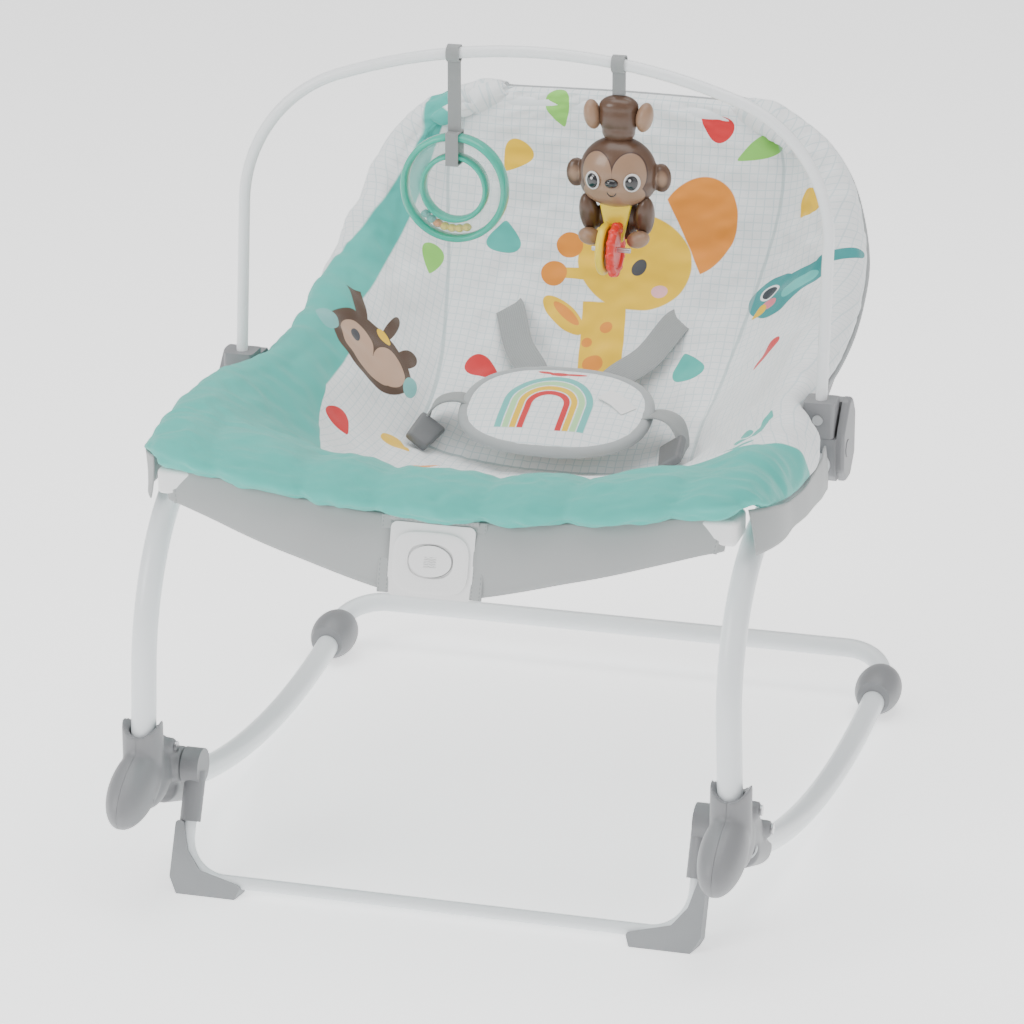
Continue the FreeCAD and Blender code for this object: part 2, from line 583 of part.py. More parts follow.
screw_y = size("arch_y") - size("plug_size") / 2
screw_z = size("arch_base_z") - 13
arch_screws = [Part.makeCylinder(size("screw_radius"), size("screw_head"),
                                 vec(side * size("arch_half"), screw_y, screw_z), vec(0, -1, 0))
               for side in (-1, 1)]
shape_part("toy_bar_screws", Part.makeCompound(arch_screws))

# ---- Vibration unit, built upright about the middle of its front face, then leaned ----

UNIT_PLACE = FreeCAD.Placement(vec(0, size("case_y") - MIDDLE, size("case_z")), turn_x(-size("case_lean")))


def unit_box(width, height, front, back, radius=0.0):
    solid = Part.makeBox(width, back - front, height, vec(-width / 2, front, -height / 2))
    if radius:
        solid = solid.makeFillet(radius, [edge for edge in solid.Edges
                                          if abs(edge.tangentAt(edge.FirstParameter).y) > 0.9])
    return solid


wide, tall, wall = size("case_width"), size("case_height"), size("case_wall")
split = size("case_front")
deep = split + size("case_back")
gap = size("fit_gap")
front_case = unit_box(wide, tall, 0, split, 5).cut(unit_box(wide - 2 * wall, tall - 2 * wall, wall, split, 3))
window = Part.makeCylinder(1, wall * 2, vec(0, -0.5, 0), vec(0, 1, 0))
stretch = FreeCAD.Matrix()
stretch.scale(size("switch_width") / 2 + size("move_gap"), 1, size("switch_height") / 2 + size("move_gap"))
front_case = front_case.cut(window.transformGeometry(stretch))
shape_part("vibration_case_front", front_case, UNIT_PLACE)
back_case = unit_box(wide, tall, split, deep, 5)
back_case = back_case.cut(unit_box(wide - 2 * wall, tall - 2 * wall, split, deep - wall, 3))
door_hole = unit_box(wide - 18, 26, deep - wall - 1, deep + 1)
back_case = back_case.cut(door_hole)
shape_part("vibration_case_back", back_case, UNIT_PLACE)
shape_part("battery_door", unit_box(wide - 18 - 2 * gap, 26 - 2 * gap, deep - wall, deep), UNIT_PLACE)
stretch = FreeCAD.Matrix()
stretch.scale(size("switch_width") / 2, 1, size("switch_height") / 2)
button_cap = Part.makeCylinder(1, 6.5, vec(0, -3, 0), vec(0, 1, 0)).transformGeometry(stretch)
shape_part("vibration_button", button_cap, UNIT_PLACE)
shape_part("circuit_board", unit_box(40, 30, 6.4, 8), UNIT_PLACE)
battery_y = deep - wall - 1 - size("battery_radius")
battery = cylinder(size("battery_radius"), vec(-size("battery_length") / 2, battery_y, 0),
                   vec(size("battery_length") / 2, battery_y, 0))
shape_part("battery", battery, UNIT_PLACE)
contact_thick = 0.8
contact_x = size("battery_length") / 2 + 0.1
contacts = [Part.makeBox(contact_thick, 12, 12, vec(low_x, battery_y - 6, -6))
            for low_x in (-contact_x - contact_thick, contact_x)]
shape_part("battery_contacts", Part.makeCompound(contacts), UNIT_PLACE)
motor_z = tall / 2 - wall - size("motor_radius") - 1
motor_y = split + size("motor_radius") - 2
motor_end = size("motor_length") - 20
motor = cylinder(size("motor_radius"), vec(-20, motor_y, -motor_z), vec(motor_end, motor_y, -motor_z))
bearing = cylinder(size("shaft_radius") + 0.05, vec(-22, motor_y, -motor_z),
                   vec(motor_end + 4, motor_y, -motor_z))
shape_part("motor", motor.cut(bearing), UNIT_PLACE)
shaft = cylinder(size("shaft_radius"), vec(-18, motor_y, -motor_z), vec(8, motor_y, -motor_z))
half_disc = cylinder(size("weight_radius"), vec(0, motor_y, -motor_z), vec(7, motor_y, -motor_z)).cut(
    Part.makeBox(10, 40, 20, vec(-1, motor_y - 20, -motor_z + 1)))
shape_part("motor_weight", shaft.fuse(half_disc), UNIT_PLACE)
case_screws = [Part.makeCylinder(2.5, 1.2, vec(dx * (wide / 2 - 6), deep, dz * (tall / 2 - 6)), vec(0, 1, 0))
               for dx in (-1, 1) for dz in (-1, 1)]
shape_part("case_screws", Part.makeCompound(case_screws), UNIT_PLACE)

# ---- Screws of the hubs and connectors ----

screws = []
outer_face = size("leg_foot_x") + size("hub_half")
inner_face = size("leg_foot_x") - size("hub_half")
inner_y, inner_z = HUB_BOLTS[0]
for side in (-1, 1):
    for bolt_y, bolt_z in HUB_BOLTS:
        screws.append(cylinder(size("screw_radius"), vec(side * outer_face, bolt_y, bolt_z),
                               vec(side * (outer_face + size("screw_head")), bolt_y, bolt_z)))
    screws.append(cylinder(size("screw_radius"), vec(side * inner_face, inner_y, inner_z),
                           vec(side * (inner_face - size("screw_head")), inner_y, inner_z)))
shape_part("frame_screws", Part.makeCompound(screws))

# ---- Soft goods: the sling pads, skirts, crotch pad and webbing as plain closed solids ----

def quilt(label, stations, thick):
    """Loft a padded sheet through sagging sections.

    Each station is (half width, edge y, edge z, middle y, middle z); the sheet's thickness is
    laid off in the section's own plane, away from its edges."""
    sections = []
    for half, edge_y, edge_z, mid_y, mid_z in stations:
        down = vec(0, mid_y - edge_y, mid_z - edge_z).normalize() * thick
        left, middle, right = vec(-half, edge_y, edge_z), vec(0, mid_y, mid_z), vec(half, edge_y, edge_z)
        upper = Part.Arc(left, middle, right).toShape()
        lower = Part.Arc(right + down, middle + down, left + down).toShape()
        sections.append(Part.Wire([upper, Part.LineSegment(right, right + down).toShape(), lower,
                                   Part.LineSegment(left + down, left).toShape()]))
    shape_part(label, Part.makeLoft(sections, True, False))


quilt("seat_pad", [(205, 40, 346, 31, 335.5), (212, 84, 338, 86, 316), (212, 150, 335, 152, 290),
                   (210, 205, 332, 215, 266), (203, 247, 328, 276, 250)], size("pad_thick"))
quilt("back_pad", [(198, 268, 330, 284, 250), (196, 340, 334, 354, 252), (190, 420, 348, 430, 286),
                   (186, 476, 382, 492, 340), (170, 512, 432, 530, 402), (112, 516, 478, 528, 468)],
      size("back_pad_thick"))


def hanging_sheet(tops, bottoms, offset):
    """A thin sheet lofted between a row of top points and a row of bottom points."""
    sections = [Part.makePolygon([top, top + offset, bottom + offset, bottom, top])
                for top, bottom in zip(tops, bottoms)]
    return Part.makeLoft(sections, True, False)


skirt_tops = [vec(-205, 21, 334), vec(-110, 8, 324), vec(0, 0, 318), vec(110, 8, 324), vec(205, 21, 334)]
skirt_ends = [vec(-205, 23, 303), vec(-110, 4, 277), vec(0, -7, 258), vec(110, 4, 277), vec(205, 23, 303)]
skirt = hanging_sheet(skirt_tops, skirt_ends, vec(0, size("skirt_thick"), 0))
unit_slot = Part.makeBox(wide + 3, 90, tall + 3, vec(-wide / 2 - 1.5, -30, -tall / 2 - 1.5))
slot_place = FreeCAD.Placement(vec(0, size("case_y"), size("case_z")), turn_x(-size("case_lean")))
shape_part("front_skirt", max(skirt.cut(moved(unit_slot, slot_place)).Solids, key=lambda solid: solid.Volume))

for name, side in SIDES:
    tops = [vec(side * 236, 70, 338), vec(side * 241, 160, 333), vec(side * 245, 244, 326)]
    ends = [vec(side * 236, 70, 306), vec(side * 241, 160, 296), vec(side * 245, 244, 286)]
    shape_part(f"side_skirt_{name}", hanging_sheet(tops, ends, vec(side * 2, 0, 0)))

crotch = doc.addObject("Part::Ellipsoid", "crotch_pad")
crotch.setExpression("Radius1", "Sizes.crotch_thick / 2")
crotch.setExpression("Radius2", "Sizes.crotch_width / 2")
crotch.setExpression("Radius3", "Sizes.crotch_length / 2")
crotch.Placement = FreeCAD.Placement(vec(0, size("crotch_y") - MIDDLE, size("crotch_z")),
                                     turn_x(size("crotch_tilt")))
keep(crotch, "crotch_pad")


def webbing(start, end, width_axis):
    run = end - start
    across = width_axis.normalize() * size("webbing_width")
    up = run.cross(across).normalize() * size("webbing_thick")
    corner = start - across / 2 - up / 2
    face = Part.Face(Part.makePolygon([corner, corner + across, corner + across + up, corner + up, corner]))
    return face.extrude(run)


straps = []
buckles = []
for side in (-1, 1):
    straps.append(webbing(vec(side * 30, 400, 312), vec(side * 70, 452, 338), vec(1, 0, 0)))
    straps.append(webbing(vec(side * 98, 338, 287), vec(side * 128, 330, 296), vec(0, 1, 0)))
    buckles.append(Part.makeBox(14, 30, 7, vec(side * 88 - 7, 330, 283)))
shape_part("harness_straps", Part.makeCompound(straps))
shape_part("harness_buckles", Part.makeCompound(buckles))

# ---- Hanging toys ----

def bar_spot(x):
    """The middle of the toy bar at a given distance across, in the arch's own leaning plane."""
    local = polar(0, crown_z, crown, math.asin(x / crown))
    return ARCH_BASE + LEAN.multVec(local)


def strap_loop(x, drop):
    """A webbing loop round the bar with a flat tail hanging from it."""
    spot = bar_spot(x)
    half = size("toy_strap_width") / 2
    inner = size("arch_bar_radius") + size("loop_slack")
    outer = inner + size("toy_strap_thick")
    left, right = spot - vec(half, 0, 0), spot + vec(half, 0, 0)
    loop = cylinder(outer, left, right).cut(cylinder(inner, left - vec(1, 0, 0), right + vec(1, 0, 0)))
    tail = Part.makeBox(2 * half, 2 * size("toy_strap_thick"), drop - inner,
                        left + vec(0, -size("toy_strap_thick"), -drop))
    return loop.fuse(tail.cut(cylinder(inner, left - vec(1, 0, 0), right + vec(1, 0, 0))))


ring_top = bar_spot(-size("toy_x"))
ring_center = ring_top - vec(0, 0, size("ring_drop"))
depth = size("ring_depth")


def ring_band(outer, inner, thick):
    start = ring_center - vec(0, thick / 2, 0)
    return Part.makeCylinder(outer, thick, start, vec(0, 1, 0)).cut(
        Part.makeCylinder(inner, thick + 2, start - vec(0, 1, 0), vec(0, 1, 0)))


rim = 5.5
outer_rim = ring_band(size("ring_radius"), size("ring_radius") - rim, depth)
inner_rim = ring_band(size("ring_hole") + 4, size("ring_hole"), depth)
shape_part("ring_rims", Part.makeCompound([outer_rim, inner_rim]))
track_out = size("ring_radius") - rim - 0.1
track_in = size("ring_hole") + 4.1
pane_y = depth / 2 - 1.5
panes = [moved(ring_band(track_out, track_in, 1), FreeCAD.Placement(vec(0, dy, 0), FreeCAD.Rotation()))
         for dy in (-pane_y, pane_y)]
shape_part("ring_track", Part.makeCompound(panes))
bead_radius = (track_out - track_in) / 2 - 1
bead_ring = (track_out + track_in) / 2
bead_long = depth - 4.6
beads = []
for step in range(7):
    angle = math.radians(205 - 19 * step)
    spot = ring_center + vec(bead_ring * math.sin(angle), 0, bead_ring * math.cos(angle))
    beads.append(Part.makeCylinder(bead_radius, bead_long, spot - vec(0, bead_long / 2, 0), vec(0, 1, 0)))
shape_part("ring_beads", Part.makeCompound(beads))
loop_gap = 0.4
strap_drop = size("ring_drop") - size("ring_radius") - loop_gap
wrap_out = Part.makeBox(size("toy_strap_width"), depth + 2 * loop_gap + 2 * size("toy_strap_thick"),
                        size("ring_radius") - size("ring_hole") + 2 * loop_gap + 2 * size("toy_strap_thick"))
wrap_in = Part.makeBox(size("toy_strap_width") + 2, depth + 2 * loop_gap,
                       size("ring_radius") - size("ring_hole") + 2 * loop_gap + 2.5)
wrap_low = ring_center + vec(0, 0, size("ring_hole") - loop_gap - size("toy_strap_thick") - 2.5)
wrap_out.Placement.Base = wrap_low - vec(size("toy_strap_width") / 2, wrap_out.BoundBox.YLength / 2, 0)
wrap_in.Placement.Base = wrap_low + vec(-size("toy_strap_width") / 2 - 1, -wrap_in.BoundBox.YLength / 2,
                                        size("toy_strap_thick"))
wrap = wrap_out.cut(wrap_in)
cap = Part.makeBox(size("toy_strap_width"), wrap_out.BoundBox.YLength, size("toy_strap_thick"),
                   ring_center + vec(-size("toy_strap_width") / 2, -wrap_out.BoundBox.YLength / 2,
                                     size("ring_radius") + loop_gap))
walls = [Part.makeBox(size("toy_strap_width"), size("toy_strap_thick"),
                      cap.BoundBox.ZMax - wrap_out.BoundBox.ZMin,
                      vec(cap.BoundBox.XMin, y, wrap_out.BoundBox.ZMin))
         for y in (wrap_out.BoundBox.YMin, wrap_out.BoundBox.YMax - size("toy_strap_thick"))]
shape_part("ring_strap", strap_loop(-size("toy_x"), strap_drop).fuse([wrap, cap] + walls))

monkey_top = bar_spot(size("toy_x"))


def rounded_block(across, deep, high, radius, dx, dy, drop):
    """A box with every edge rounded, by its full sizes, hung below the bar."""
    corner = monkey_top + vec(dx - across / 2, dy - deep / 2, -drop - high / 2)
    solid = Part.makeBox(across, deep, high, corner)
    return solid.makeFillet(radius, solid.Edges)


head = size("monkey_head")
block = rounded_block(32, 22, 34, 8, 0, 0, 42)
skull = rounded_block(head, head * 0.74, head * 0.95, 20, 0, 0, 84)
trunk = rounded_block(36, 28, 44, 12, 0, 0, 122)
ears = [rounded_block(20, 10, 24, 4.5, dx * (head / 2 + 3), 0, 84) for dx in (-1, 1)]
arms = [rounded_block(16, 17, 40, 7, dx * 22, -4, 130) for dx in (-1, 1)]
hands = [rounded_block(16, 18, 17, 7.5, dx * 20, -13, 141) for dx in (-1, 1)]
monkey = block.fuse([skull, trunk] + ears + arms + hands)
spin = monkey_top + vec(0, -20, -140)
room_half = 10.5
room_high = size("spinner_radius") + 5
ring_room = Part.makeBox(2 * room_half, 60, 2 * room_high, spin + vec(-room_half, -30, -room_high))
monkey = monkey.cut(ring_room)
rod_reach = 15
rod = cylinder(size("rod_radius"), spin - vec(rod_reach, 0, 0), spin + vec(rod_reach, 0, 0))
shape_part("monkey_body", max(monkey.Solids, key=lambda solid: solid.Volume).cut(rod))
shape_part("monkey_rod", rod)
shape_part("monkey_strap", strap_loop(size("toy_x"), 24).cut(moved(block, FreeCAD.Placement())))

lobe_reach = size("spinner_radius") + 1.2
for label, dx, lobes in (("spinner_yellow", -5.2, 0), ("spinner_red", 3.4, 12)):
    hub = Part.makeCylinder(size("spinner_radius") - 1, 3, spin + vec(dx - 1.5, 0, 0), vec(1, 0, 0))
    tyre = Part.makeTorus(size("spinner_radius"), size("spinner_tube"), spin + vec(dx, 0, 0), vec(1, 0, 0))
    wheel = hub.fuse(tyre)
    for lobe in range(lobes):
        angle = 2 * math.pi * lobe / lobes
        away = vec(0, math.sin(angle), math.cos(angle)) * lobe_reach
        wheel = wheel.fuse(Part.makeSphere(3.4, spin + vec(dx, 0, 0) + away))
    shaft_hole = cylinder(size("rod_radius") + 0.05, spin - vec(rod_reach, 0, 0), spin + vec(rod_reach, 0, 0))
    shape_part(label, wheel.cut(shaft_hole))

# ---- Check every object, then write one file for each sub-part ----

doc.recompute()
for item in doc.Objects:
    if "Invalid" in item.State or "Error" in item.State:
        raise RuntimeError(f"{item.Label} did not compute: {item.State}")
for item in exported:
    if item.Shape.isNull() or not item.Shape.isValid() or not item.Shape.Solids:
        raise RuntimeError(f"{item.Label} has no sound solid")
    item.Shape.exportStep(f"parts/{item.Label}.step")
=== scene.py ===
import json
import math

import bpy
from mathutils import Matrix, Vector, noise


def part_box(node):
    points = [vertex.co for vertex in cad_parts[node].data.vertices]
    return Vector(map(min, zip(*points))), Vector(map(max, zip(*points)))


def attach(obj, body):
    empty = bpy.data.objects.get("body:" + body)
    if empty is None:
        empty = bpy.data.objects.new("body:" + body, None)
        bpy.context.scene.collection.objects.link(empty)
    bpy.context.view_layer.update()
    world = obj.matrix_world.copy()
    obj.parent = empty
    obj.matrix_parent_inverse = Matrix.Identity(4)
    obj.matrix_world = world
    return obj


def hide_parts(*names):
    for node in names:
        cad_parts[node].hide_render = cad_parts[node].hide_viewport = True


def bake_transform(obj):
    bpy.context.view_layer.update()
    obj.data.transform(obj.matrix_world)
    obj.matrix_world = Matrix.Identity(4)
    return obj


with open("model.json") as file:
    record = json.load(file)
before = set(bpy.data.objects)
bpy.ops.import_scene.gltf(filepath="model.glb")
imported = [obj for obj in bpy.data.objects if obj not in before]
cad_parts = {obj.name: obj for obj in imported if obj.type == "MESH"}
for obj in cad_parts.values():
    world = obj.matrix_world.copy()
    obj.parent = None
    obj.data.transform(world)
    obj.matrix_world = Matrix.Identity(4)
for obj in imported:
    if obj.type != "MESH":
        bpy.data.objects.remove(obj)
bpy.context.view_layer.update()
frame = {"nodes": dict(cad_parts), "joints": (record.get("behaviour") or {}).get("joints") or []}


# ---- Studio ----
# A pale sweep of floor, one big soft light overhead, a key from the front left and a weak fill
# from the right. The camera stands well back and a little to the right of the seat's middle.

bpy.ops.mesh.primitive_plane_add(size=14)
floor = bpy.context.object
floor.name = "floor"


class Socket:
    """A value in a material. Arithmetic on it adds Math nodes, and node() adds any other node."""

    def __init__(self, tree, link):
        self.tree = tree
        self.link = link

    def node(self, kind, settings=None, output=0, **inputs):
        made = self.tree.nodes.new(kind)
        for key, value in (settings or {}).items():
            setattr(made, key, value)
        for key, value in inputs.items():
            socket = made.inputs[int(key[1:])] if key[0] == "i" and key[1:].isdigit() else made.inputs[key]
            if isinstance(value, Socket):
                self.tree.links.new(value.link, socket)
            elif isinstance(value, tuple) and len(value) == 3 and len(socket.default_value) == 4:
                socket.default_value = (*value, 1)
            else:
                socket.default_value = value
        return Socket(self.tree, made.outputs[output])

    def math(self, operation, other=0.0, third=0.0):
        return self.node("ShaderNodeMath", {"operation": operation}, i0=self, i1=other, i2=third)

    def __add__(self, other):
        return self.math("ADD", other)

    __radd__ = __add__

    def __mul__(self, other):
        return self.math("MULTIPLY", other)

    __rmul__ = __mul__

    def __sub__(self, other):
        return self.math("SUBTRACT", other)

    def __rsub__(self, other):
        return self * -1.0 + other

    def __truediv__(self, other):
        return self.math("DIVIDE", other)

    def __or__(self, other):
        return self.math("MAXIMUM", other)

    def __and__(self, other):
        return self.math("MINIMUM", other)

    def below(self, limit, soft):
        """1 where the value is under the limit and 0 over it, across a soft step."""
        return ((limit - self) * (1 / soft) + 0.5).math("MINIMUM", 1.0).math("MAXIMUM", 0.0)

    def wave(self, period):
        return (self * (2 * math.pi / period)).math("SINE")


def mix(mask, first, second):
    """The first colour where the mask is 0 and the second where it is 1."""
    return mask.node("ShaderNodeMix", {"data_type": "RGBA"}, i0=mask, i6=first, i7=second, output=2)


class Finish:
    """A material with a Principled shader, whose fixed values sit on the shader's own sockets."""

    def __init__(self, name, colour, roughness=0.5, **fixed):
        self.material = bpy.data.materials.new(name)
        self.material.use_nodes = True
        self.tree = self.material.node_tree
        self.shader = self.tree.nodes["Principled BSDF"]
        self.start = Socket(self.tree, None)
        self.fix("Base Color", (*colour, 1))
        self.fix("Roughness", roughness)
        for key, value in fixed.items():
            self.fix(key.replace("_", " ").title().replace("Ior", "IOR"), value)

    def fix(self, key, value):
        self.shader.inputs[key].default_value = value

    def feed(self, key, value):
        self.tree.links.new(value.link, self.shader.inputs[key])

    def place(self):
        """Object coordinates: the same as the object's own frame, in metres."""
        return self.start.node("ShaderNodeTexCoord", output=3)

    def speckle(self, scale, detail=2.0):
        return self.start.node("ShaderNodeTexNoise", Vector=self.place(), Scale=scale, Detail=detail)

    def bump(self, height, distance, strength=1.0):
        relief = height.node("ShaderNodeBump", Strength=strength, Distance=distance, Height=height)
        self.feed("Normal", relief)

    def mottle(self, dark, light, scale, height=0.0001, roughness=(0.35, 0.45)):
        """A plain finish: slight patches of colour, changing gloss and a fine skin."""
        patches = self.speckle(scale)
        self.feed("Base Color", mix(patches, dark, light))
        self.feed("Roughness", patches * (roughness[1] - roughness[0]) + roughness[0])
        self.bump(self.speckle(scale * 40, 3.0), height, 0.5)
        return self


floor_paint = Finish("floor_paint", (0.96, 0.96, 0.96), 0.75)
floor_paint.bump(floor_paint.speckle(300), 0.0001, 0.1)
floor_paint.fix("Emission Color", (1, 1, 1, 1))
floor_paint.fix("Emission Strength", 1.1)
floor.data.materials.append(floor_paint.material)

studio = bpy.data.worlds.new("studio")
bpy.context.scene.world = studio
studio.use_nodes = True
studio.node_tree.nodes["Background"].inputs["Color"].default_value = (1, 1, 1, 1)
studio.node_tree.nodes["Background"].inputs["Strength"].default_value = 0.6

for name, spot, size, power in (("overhead", (0, 0.2, 2.6), 2.4, 62), ("key", (-2.0, -2.2, 1.8), 1.4, 48),
                                ("fill", (2.6, -1.4, 1.2), 2.0, 12)):
    lamp = bpy.data.lights.new(name, "AREA")
    lamp.size = size
    lamp.energy = power
    holder = bpy.data.objects.new(name, lamp)
    holder.location = spot
    holder.rotation_euler = (Vector((0, 0, 0.25)) - Vector(spot)).to_track_quat("-Z", "Y").to_euler()
    bpy.context.collection.objects.link(holder)

camera = bpy.data.objects.new("camera", bpy.data.cameras.new("camera"))
camera.data.lens = 158.2
camera.data.sensor_width = 36
camera.location = (0.891, -3.175, 1.392)
camera.rotation_euler = (math.radians(90 - 19.28), 0, math.radians(15.80))
bpy.context.collection.objects.link(camera)
bpy.context.scene.camera = camera


# ---- Frame tubes ----
# Bent steel tube with a white powder coat: a slightly wavy, satin skin in slight patches of tone. The toy bar
# has the same colour in plastic.

def dress(finish, *nodes):
    """Give CAD nodes a finish."""
    for node in nodes:
        mesh = frame["nodes"][node].data
        mesh.materials.clear()
        mesh.materials.append(finish.material)


def each_side(*names):
    return [f"{name}_{side}" for name in names for side in ("left", "right")]


powder_coat = Finish("powder_coat", (0.8, 0.84, 0.86), 0.3, coat_weight=0.25, coat_roughness=0.2)
powder_coat.mottle((0.78, 0.82, 0.84), (0.84, 0.87, 0.885), 9.0, 0.00012, (0.26, 0.38))
dress(powder_coat, *each_side("leg_tube", "rocker_rail"), "rear_tube", "front_cross_tube", "kickstand_tube",
      "back_tube")
bar_plastic = Finish("bar_plastic", (0.86, 0.88, 0.89), 0.28, specular_ior_level=0.5)
bar_plastic.mottle((0.84, 0.86, 0.87), (0.88, 0.9, 0.91), 14.0, 0.00006, (0.22, 0.32))
dress(bar_plastic, "toy_bar_arch")


# ---- Moulded grey fittings ----
# Glass-filled nylon in a warm mid grey, spark-textured in the mould, with a thin sheen.

moulded_grey = Finish("moulded_grey", (0.27, 0.28, 0.3), 0.42)
moulded_grey.mottle((0.2, 0.203, 0.212), (0.24, 0.244, 0.253), 22.0, 0.0002, (0.36, 0.5))
dress(moulded_grey, *each_side("rear_connector", "front_hub_outer", "front_hub_inner", "recline_housing",
                               "recline_cover", "recline_button", "back_arm", "toy_bar_plug",
                               "kickstand_socket"))
foot_rubber = Finish("foot_rubber", (0.3, 0.31, 0.32), 0.62)
foot_rubber.mottle((0.27, 0.28, 0.29), (0.32, 0.33, 0.34), 30.0, 0.0003, (0.55, 0.72))
dress(foot_rubber, *each_side("kickstand_foot"))
zinc = Finish("zinc", (0.6, 0.6, 0.61), 0.3, metallic=1.0)
zinc.mottle((0.5, 0.5, 0.52), (0.7, 0.7, 0.7), 120.0, 0.0001, (0.22, 0.4))
dress(zinc, "frame_screws", "toy_bar_screws", "case_screws", "battery_contacts", "motor", "motor_weight",
      *each_side("recline_pin"))
white_shell = Finish("white_shell", (0.85, 0.85, 0.85), 0.35)
white_shell.mottle((0.82, 0.82, 0.82), (0.87, 0.87, 0.87), 18.0, 0.0001, (0.3, 0.4))
dress(white_shell, "vibration_case_front", "vibration_case_back", "battery_door", "vibration_button",
      *each_side("corner_sleeve"))
board_mask = Finish("board_mask", (0.04, 0.22, 0.09), 0.35)
board_mask.mottle((0.03, 0.18, 0.07), (0.05, 0.26, 0.11), 400.0, 0.00005, (0.3, 0.45))
dress(board_mask, "circuit_board")
cell_sleeve = Finish("cell_sleeve", (0.03, 0.03, 0.035), 0.3)
cell_sleeve.mottle((0.02, 0.02, 0.025), (0.05, 0.05, 0.06), 60.0, 0.00005, (0.25, 0.35))
dress(cell_sleeve, "battery")


# ---- Seat cover ----
# One padded polyester sling from the front roll, over the side rails and up the back. It is sewn
# as a flat shell with thin filling, and its panels puff up between the stitched lines.

leg_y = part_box("leg_tube_left")[0].y + 0.0095

# Each row of the sling, front to top, in millimetres from the line of the legs: the middle
# (y, z), then the side seam, the crest over the rail and the hanging edge, each (x, y, z).
SLING = [
    ((12, 312), (110, 17, 317), (190, 28, 325), (214, 36, 328)),
    ((5, 321), (110, 10, 327), (196, 22, 336), (226, 38, 333)),
    ((26, 333), (112, 31, 337), (204, 44, 345), (238, 50, 331)),
    ((62, 327), (116, 66, 333), (212, 74, 346), (241, 78, 324)),
    ((102, 306), (122, 104, 316), (216, 106, 344), (243, 108, 319)),
    ((150, 281), (126, 150, 292), (219, 150, 342), (244, 150, 316)),
    ((203, 259), (126, 202, 272), (218, 202, 340), (242, 200, 315)),
    ((262, 245), (122, 256, 260), (203, 252, 337), (217, 244, 322)),
    ((318, 242), (116, 314, 260), (198, 310, 338), (214, 312, 325)),
    ((372, 251), (113, 366, 274), (198, 362, 346), (219, 370, 334)),
    ((424, 280), (117, 418, 298), (199, 412, 358), (221, 420, 346)),
    ((465, 318), (124, 458, 331), (199, 452, 374), (220, 462, 362)),
    ((497, 357), (131, 490, 366), (196, 480, 396), (217, 497, 385)),
    ((518, 396), (138, 512, 403), (190, 502, 425), (208, 520, 414)),
    ((531, 433), (141, 526, 438), (179, 518, 451), (194, 535, 445)),
    ((538, 466), (136, 534, 468), (160, 527, 474), (173, 542, 471)),
    ((542, 489), (116, 539, 488), (132, 536, 490), (142, 546, 491)),
    ((546, 501), (88, 545, 500), (97, 544, 501), (104, 549, 501)),
]
ACROSS = (-1.0, -0.84, -0.5, 0.0, 0.5, 0.84, 1.0)


def spline(points, t):
    """A smooth curve through the points, where t counts them from 0."""
    last = len(points) - 1
    i = min(int(max(t, 0)), last - 1)
    f = t - i
    before, here, there, after = (points[max(0, min(last, i + k))] for k in (-1, 0, 1, 2))
    return 0.5 * (2 * here + (there - before) * f + (2 * before - 5 * here + 4 * there - after) * f * f
                  + (3 * here - before - 3 * there + after) * f ** 3)


def sling_point(u, v):
    """The sling's face at u from -1 to 1 across, and row v."""
    columns = []
    for place in range(7):
        side = 1 if place > 3 else -1
        points = []
        for middle, *outer in SLING:
            x, y, z = (0, *middle) if place == 3 else outer[abs(place - 3) - 1]
            points.append(Vector((side * x, y, z)) / 1000)
        columns.append(spline(points, v))
    i = max(k for k in range(6) if u >= ACROSS[k] or k == 0)
    share = (u - ACROSS[i]) / (ACROSS[i + 1] - ACROSS[i])
    return spline(columns, i + share) + Vector((0, leg_y, 0))


ROWS = len(SLING) - 1
ROLL_SEAMS = (-0.72, -0.45, -0.19, 0.16, 0.44, 0.74)
ROLL_END = 3.4
BACK_START = 8.2


def stitch_distance(u, v):
    """How far a point of the cover is from its nearest stitched line, in metres."""
    width, row = 0.215, 0.045
    past_roll = max(0.0, v - ROLL_END) * row
    before_back = max(0.0, BACK_START - v) * row
    lines = [(1 - abs(u)) * width, v * row, (ROWS - v) * row,
             math.hypot((abs(u) - 0.5) * width, before_back),
             math.hypot((v - BACK_START) * row, max(0.0, abs(u) - 0.5) * width)]
    lines += [math.hypot((u - seam) * width, past_roll) for seam in ROLL_SEAMS]
    return min(lines)


COLUMNS, LINES = 110, 170
bpy.ops.object.select_all(action="DESELECT")
bpy.ops.mesh.primitive_grid_add(x_subdivisions=COLUMNS, y_subdivisions=LINES, size=2)
cover = bpy.context.object
cover.name = "seat_cover"
cover_mesh = cover.data
params = [(vert.co.x, (vert.co.y + 1) / 2 * ROWS) for vert in cover_mesh.vertices]
for vert, (u, v) in zip(cover_mesh.vertices, params):
    vert.co = sling_point(u, v)

